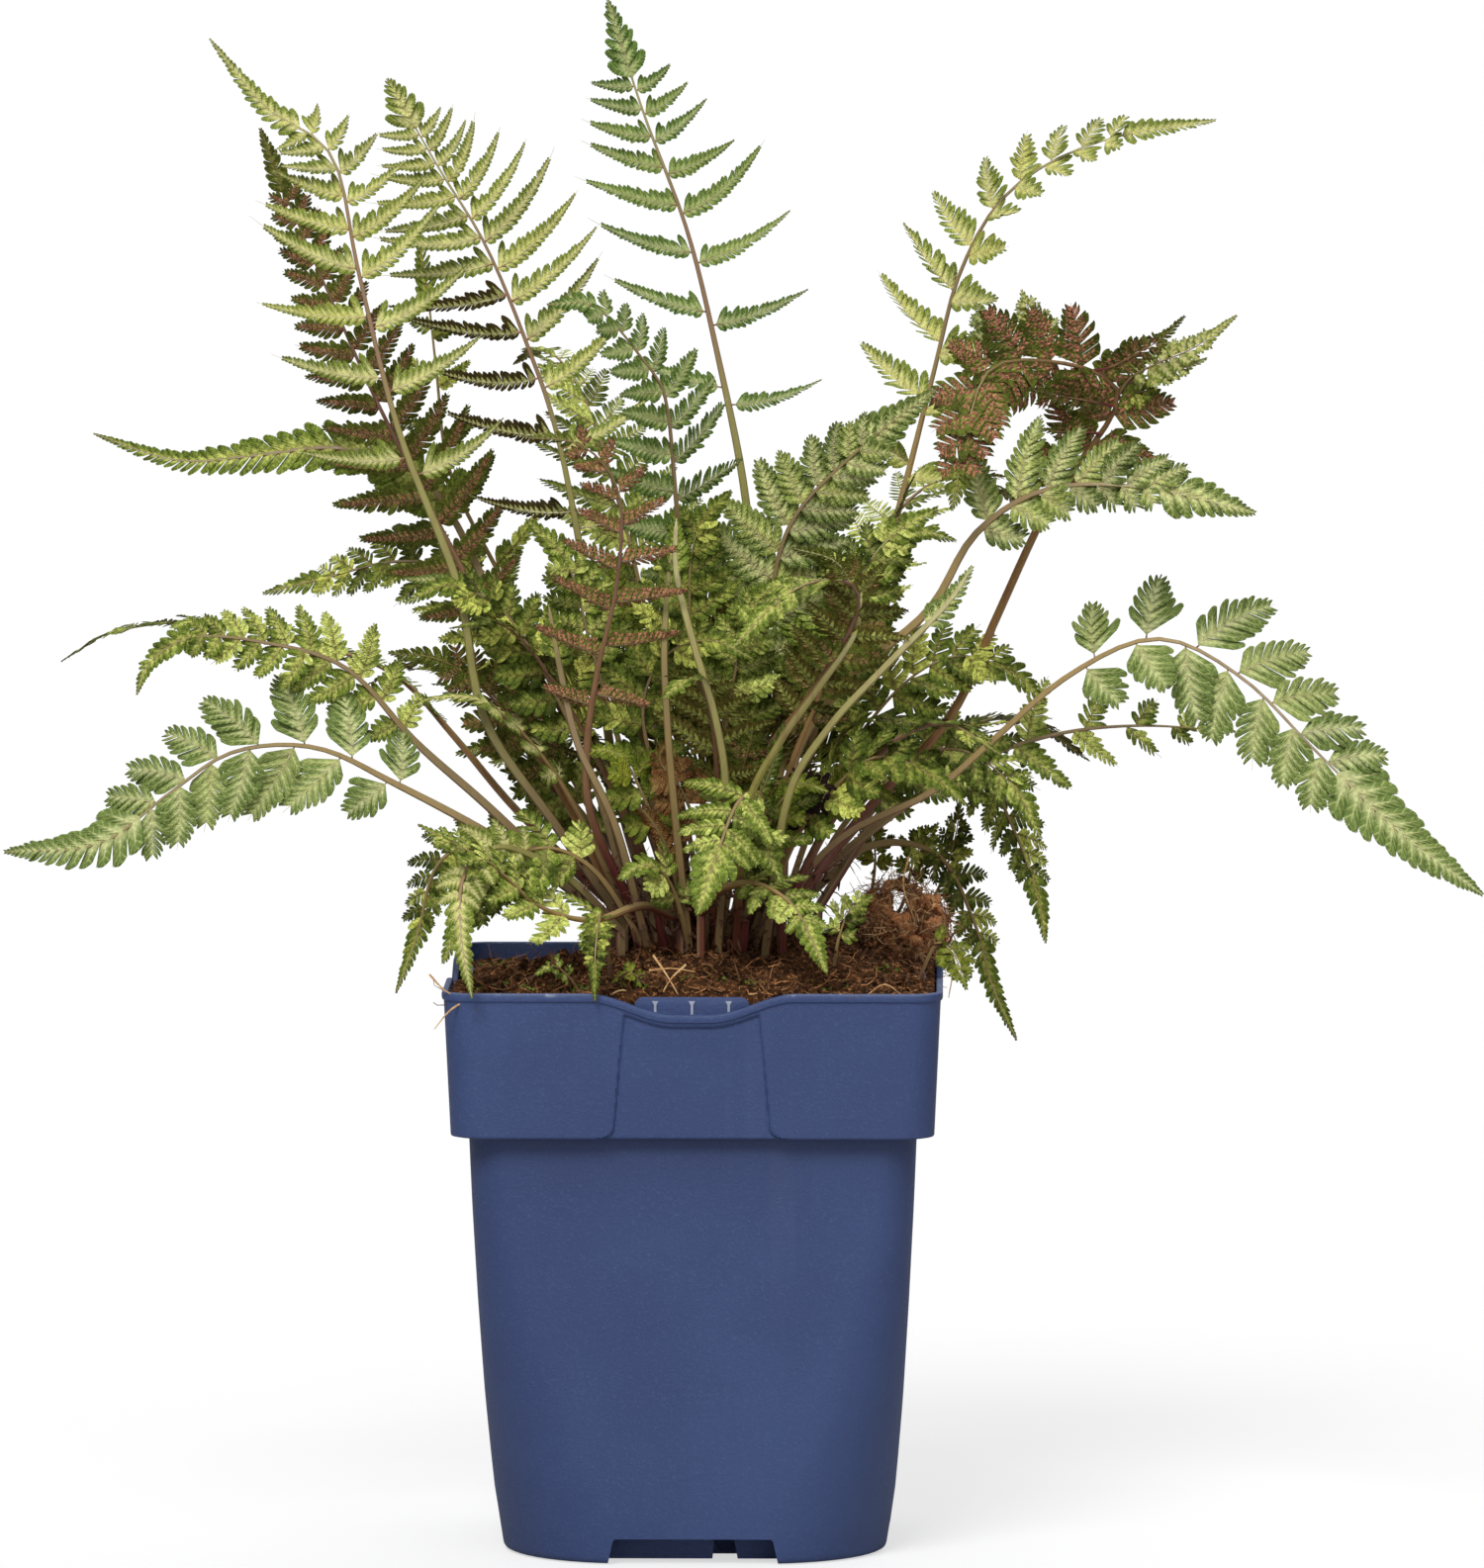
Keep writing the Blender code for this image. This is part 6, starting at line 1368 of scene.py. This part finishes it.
def crumbs(name, places, sizes, paint):
    # uneven lumps with 20 faces each
    gold = (1 + 5 ** 0.5) / 2
    base = unit(np.array([(-1, gold, 0), (1, gold, 0), (-1, -gold, 0), (1, -gold, 0), (0, -1, gold), (0, 1, gold),
                          (0, -1, -gold), (0, 1, -gold), (gold, 0, -1), (gold, 0, 1), (-gold, 0, -1), (-gold, 0, 1)]))
    faces = np.array([(0, 11, 5), (0, 5, 1), (0, 1, 7), (0, 7, 10), (0, 10, 11), (1, 5, 9), (5, 11, 4), (11, 10, 2),
                      (10, 7, 6), (7, 1, 8), (3, 9, 4), (3, 4, 2), (3, 2, 6), (3, 6, 8), (3, 8, 9), (4, 9, 5),
                      (2, 4, 11), (6, 2, 10), (8, 6, 7), (9, 8, 1)])
    count = len(places)
    jitter = draw.uniform(0.65, 1.25, (count, 12, 1))
    spin = unit(draw.normal(0, 1, (count, 3, 3)))
    scale = sizes[:, None, None] * draw.uniform(0.6, 1.2, (count, 1, 3))
    first = spin[:, 0]
    second = unit(spin[:, 1] - first * dots(spin[:, 1], first))
    third = np.cross(first, second)
    turn = np.stack([first, second, third], axis=1)
    points = (base[None] * jitter * scale) @ turn + np.asarray(places)[:, None]
    allFaces = faces[None] + (np.arange(count) * 12)[:, None, None]
    meshPiece(name, points.reshape(-1, 3), allFaces.reshape(-1, 3), [paint], None, 50, None)


def fibres(name, starts, ways, lengths, radii, paint, chances, curl=0.5, steps=5):
    bits = Leafage()
    for start, way, length, radius, chance in zip(starts, ways, lengths, radii, chances):
        point, heading, line = np.array(start, float), unit(np.array(way, float)), []
        for _ in range(steps):
            line.append(point.copy())
            heading = unit(heading + draw.normal(0, curl, 3) * 0.6)
            point = point + heading * length / (steps - 1)
        bits.addTube(np.array(line), np.linspace(radius, radius * 0.45, steps), 3, 0, None, 0.0, chance)
    bits.makePiece(name, [paint], 50, None, "peat", ("stipeMap",))


def insideBed(count, edge=80.0):
    # places on the soil, off the slots behind the tabs
    spots = draw.uniform(-edge, edge, (count * 2, 2))
    slotHalf, slotIn, _ = soilBed["slot"]
    good = [(x, y) for x, y in spots if not ((abs(x) < slotHalf + 1 and abs(y) > slotIn - 1.5)
                                             or (abs(y) < slotHalf + 1 and abs(x) > slotIn - 1.5))]
    return np.array(good[:count])


spots = insideBed(1250)
crumbSizes = np.clip(draw.lognormal(-0.05, 0.5, len(spots)), 0.4, 3.2)
crumbs("soilCrumbs", [(x, y, bedHeight(x, y) + 0.25 * size) for (x, y), size in zip(spots, crumbSizes)], crumbSizes,
       soilPaint)
spots = insideBed(950)
ways = draw.normal(0, 1, (len(spots), 3)) * np.array([1, 1, 0.28])
fibres("soilFibres", [(x, y, bedHeight(x, y) + draw.uniform(0.2, 1.4)) for x, y in spots], ways,
       draw.uniform(3.5, 13, len(spots)), draw.uniform(0.13, 0.32, len(spots)), peatFibrePaint,
       draw.uniform(0, 1, len(spots)) ** 1.6)

# the loose clump at the back right, with a gap through it
clump = {"middle": (71.0, 44.0, 206.5), "half": (17.5, 17.5, 19.5), "crumbs": 600, "fibres": 1150,
         "gap": (71.0, 217.5, 4.2)}


def clumpSpots(count, edge):
    found = []
    while len(found) < count:
        way = unit(draw.normal(0, 1, 3))
        spot = np.array(clump["middle"]) + way * np.array(clump["half"]) * draw.uniform(*edge)
        spot[0] = min(spot[0], 92.0)
        gapX, gapZ, gapSize = clump["gap"]
        if math.hypot(spot[0] - gapX, spot[2] - gapZ) > gapSize and spot[2] > 186:
            found.append(spot)
    return np.array(found)


spots = clumpSpots(clump["crumbs"], (0.3, 1.0))
crumbs("clumpCrumbs", spots, np.clip(draw.lognormal(0.55, 0.45, len(spots)), 0.8, 4.0), clumpPaint)
spots = clumpSpots(clump["fibres"], (0.86, 1.08))
ways = spots - np.array(clump["middle"])
ways = np.cross(ways, draw.normal(0, 1, (len(spots), 3))) + 0.15 * ways
fibres("clumpFibres", spots, ways, draw.uniform(4, 13, len(spots)),
       draw.uniform(0.14, 0.32, len(spots)), clumpFibrePaint, draw.uniform(0, 1, len(spots)) ** 1.2, 0.8)

tanRoots = (
    ((-13.5, -70, 211.7), (-9, -73, 205.5), (-4.1, -75, 197.4)),
    ((-2.2, -70, 208.5), (-7.5, -71, 203.5), (-11.1, -73, 197.2)),
    ((-15, -66, 206), (-7, -67, 206.8), (1, -66, 205.5)),
    ((-90, -80, 206), (-85, -82, 201), (-78, -83, 197)), ((-78, -83, 197), (-83, -86, 194), (-88, -88, 188)),
    ((74, 30, 236), (72, 28, 226), (76, 26, 214)), ((84, 20, 204), (89, 16, 197), (88, 14, 188)),
    ((14, -74, 197), (22, -75, 199), (30, -74, 196)), ((-30, -72, 197), (-24, -73, 200), (-18, -72, 197)),
    ((60, -70, 198), (66, -72, 202), (72, -70, 198)), ((-66, -40, 198), (-60, -44, 203), (-56, -50, 198)))
rootBits = Leafage()
for rootLine in tanRoots:
    rootBits.addTube(smoothLine(rootLine, 9), np.linspace(0.42, 0.18, 9), 5, 0, None, 0.0, draw.uniform(0.5, 1.0))
rootBits.makePiece("tanRoots", [tanRootPaint], 50, None, "peat", ("stipeMap",))
print("soil done")

# rhizome and old leaf bases
chaffPaint = peatPaint("rhizomeChaff", rgb(44, 24, 16), rgb(86, 52, 34), rgb(142, 96, 62))
crown = {"middle": (6.0, 4.0, 203.0), "half": (23.0, 16.0, 9.0), "scales": 520, "stubs": 26}
bpy.ops.object.select_all(action="DESELECT")
bpy.ops.mesh.primitive_ico_sphere_add(subdivisions=5, radius=1.0, location=(0, 0, 0))
rhizome = bpy.context.object
rhizome.name = "rhizomeCrown"
for vert in rhizome.data.vertices:
    x, y, z = vert.co
    lump = 1 + 0.09 * math.sin(5 * x + 2) * math.cos(4 * y) + 0.07 * math.sin(7 * z + 3 * x)
    lump += 0.10 * rough(x, y, z, 3.0, 4)
    vert.co = Vector([(c * h * lump + m) * mm for c, h, m in zip((x, y, z), crown["half"], crown["middle"])])
rhizome.data.materials.append(chaffPaint.material)
finishPiece(rhizome, 60, "rhizome")

stubs = Leafage()
for k in range(crown["stubs"]):
    turn = draw.uniform(0, 2 * math.pi)
    ring = draw.uniform(0.2, 1.15)
    x, y = 6 + 24 * ring * math.cos(turn), 2 + 20 * ring * math.sin(turn)
    z = soilHeight(x, y) - 4
    lean = np.array([math.cos(turn) * 0.5 * ring, math.sin(turn) * 0.5 * ring, 1.0])
    tall = draw.uniform(7, 22)
    line = np.array([(x, y, z) + lean * tall * t + draw.normal(0, 0.25, 3) for t in np.linspace(0, 1, 6)])
    stubs.addTube(line, np.linspace(2.4, 1.3, 6) * draw.uniform(0.7, 1.1), 8, 1, None, 0.25, 0.5, 0.12)
count = crown["scales"]
turn, ring = draw.uniform(0, 2 * math.pi, count), draw.uniform(0.1, 1.2, count)
root = np.stack([6 + 25 * ring * np.cos(turn), 2 + 21 * ring * np.sin(turn), np.zeros(count)], axis=1)
root[:, 2] = [soilHeight(x, y) + draw.uniform(-1.0, 9.0) * max(0, 1.1 - r) for (x, y, _), r in zip(root, ring)]
out = unit(np.stack([np.cos(turn) * 0.5, np.sin(turn) * 0.5, draw.uniform(0.2, 1.4, count)], axis=1)
           + draw.normal(0, 0.35, (count, 3)))
cross = unit(np.cross(out, draw.normal(0, 1, (count, 3))))
stubs.addLobes(1, {"root": root, "out": out, "along": cross, "up": np.cross(out, cross),
                   "length": draw.uniform(3, 8.5, count), "width": draw.uniform(1.0, 2.6, count),
                   "chance": draw.uniform(0, 1, count), "place": np.zeros((count, 4)), "tilt": np.zeros(count),
                   "bend": draw.normal(0.15, 0.3, count)}, 0)
stubs.makePiece("rhizomeScales", [scalePaint, stipePaints["red"]], 40, None, "rhizome_chaff",
                ("leafMap", "stipeMap"))
print("rhizome done")

# moss and seedlings on the soil: x, y, spread, count
mossPaint = leafPaint("mossLeaf", {**leafTones["green"], "wash": (0.85, 0.86, 0.5, 1), "fresh": 0.3})
mossSpots = ((-38, -64, 9, 26), (-20, -67, 6, 18), (-56, -60, 8, 20), (20, -64, 8, 16), (-66, -52, 8, 22),
             (50, -58, 8, 14), (2, -58, 10, 18), (-30, 62, 8, 30), (30, 64, 8, 30), (-68, 10, 8, 30),
             (66, -20, 7, 20), (86, 34, 4, 16))
moss = Leafage()
for mx, my, spread, count in mossSpots:
    x, y = mx + draw.normal(0, spread * 0.5, count), my + draw.normal(0, spread * 0.4, count)
    x, y = np.clip(x, -78, 88), np.clip(y, -76, 76)
    root = np.stack([x, y, [bedHeight(min(a, 80), b) + 0.2 for a, b in zip(x, y)]], axis=1)
    out = unit(draw.normal(0, 1, (count, 3)) * np.array([1, 1, 0.3]) + np.array([0, 0, 0.9]))
    cross = unit(np.cross(out, draw.normal(0, 1, (count, 3))))
    up = np.cross(out, cross)
    up = np.where(up[:, 2:3] < 0, -up, up)
    place = np.tile(np.array([0.5, 0.5, 0.0, 1.0]), (count, 1))
    moss.addLobes(3, {"root": root, "out": out, "along": cross, "up": up, "length": draw.uniform(1.2, 3.4, count),
                      "width": draw.uniform(0.9, 2.2, count), "chance": draw.uniform(0, 1, count), "place": place,
                      "tilt": np.zeros(count), "bend": draw.normal(0.2, 0.2, count)}, 0)
moss.makePiece("mossAndSeedlings", [mossPaint], 40, None, "pale_leaf", ("leafMap", "leafPlace"), ("leafUnder",))
print("moss done")
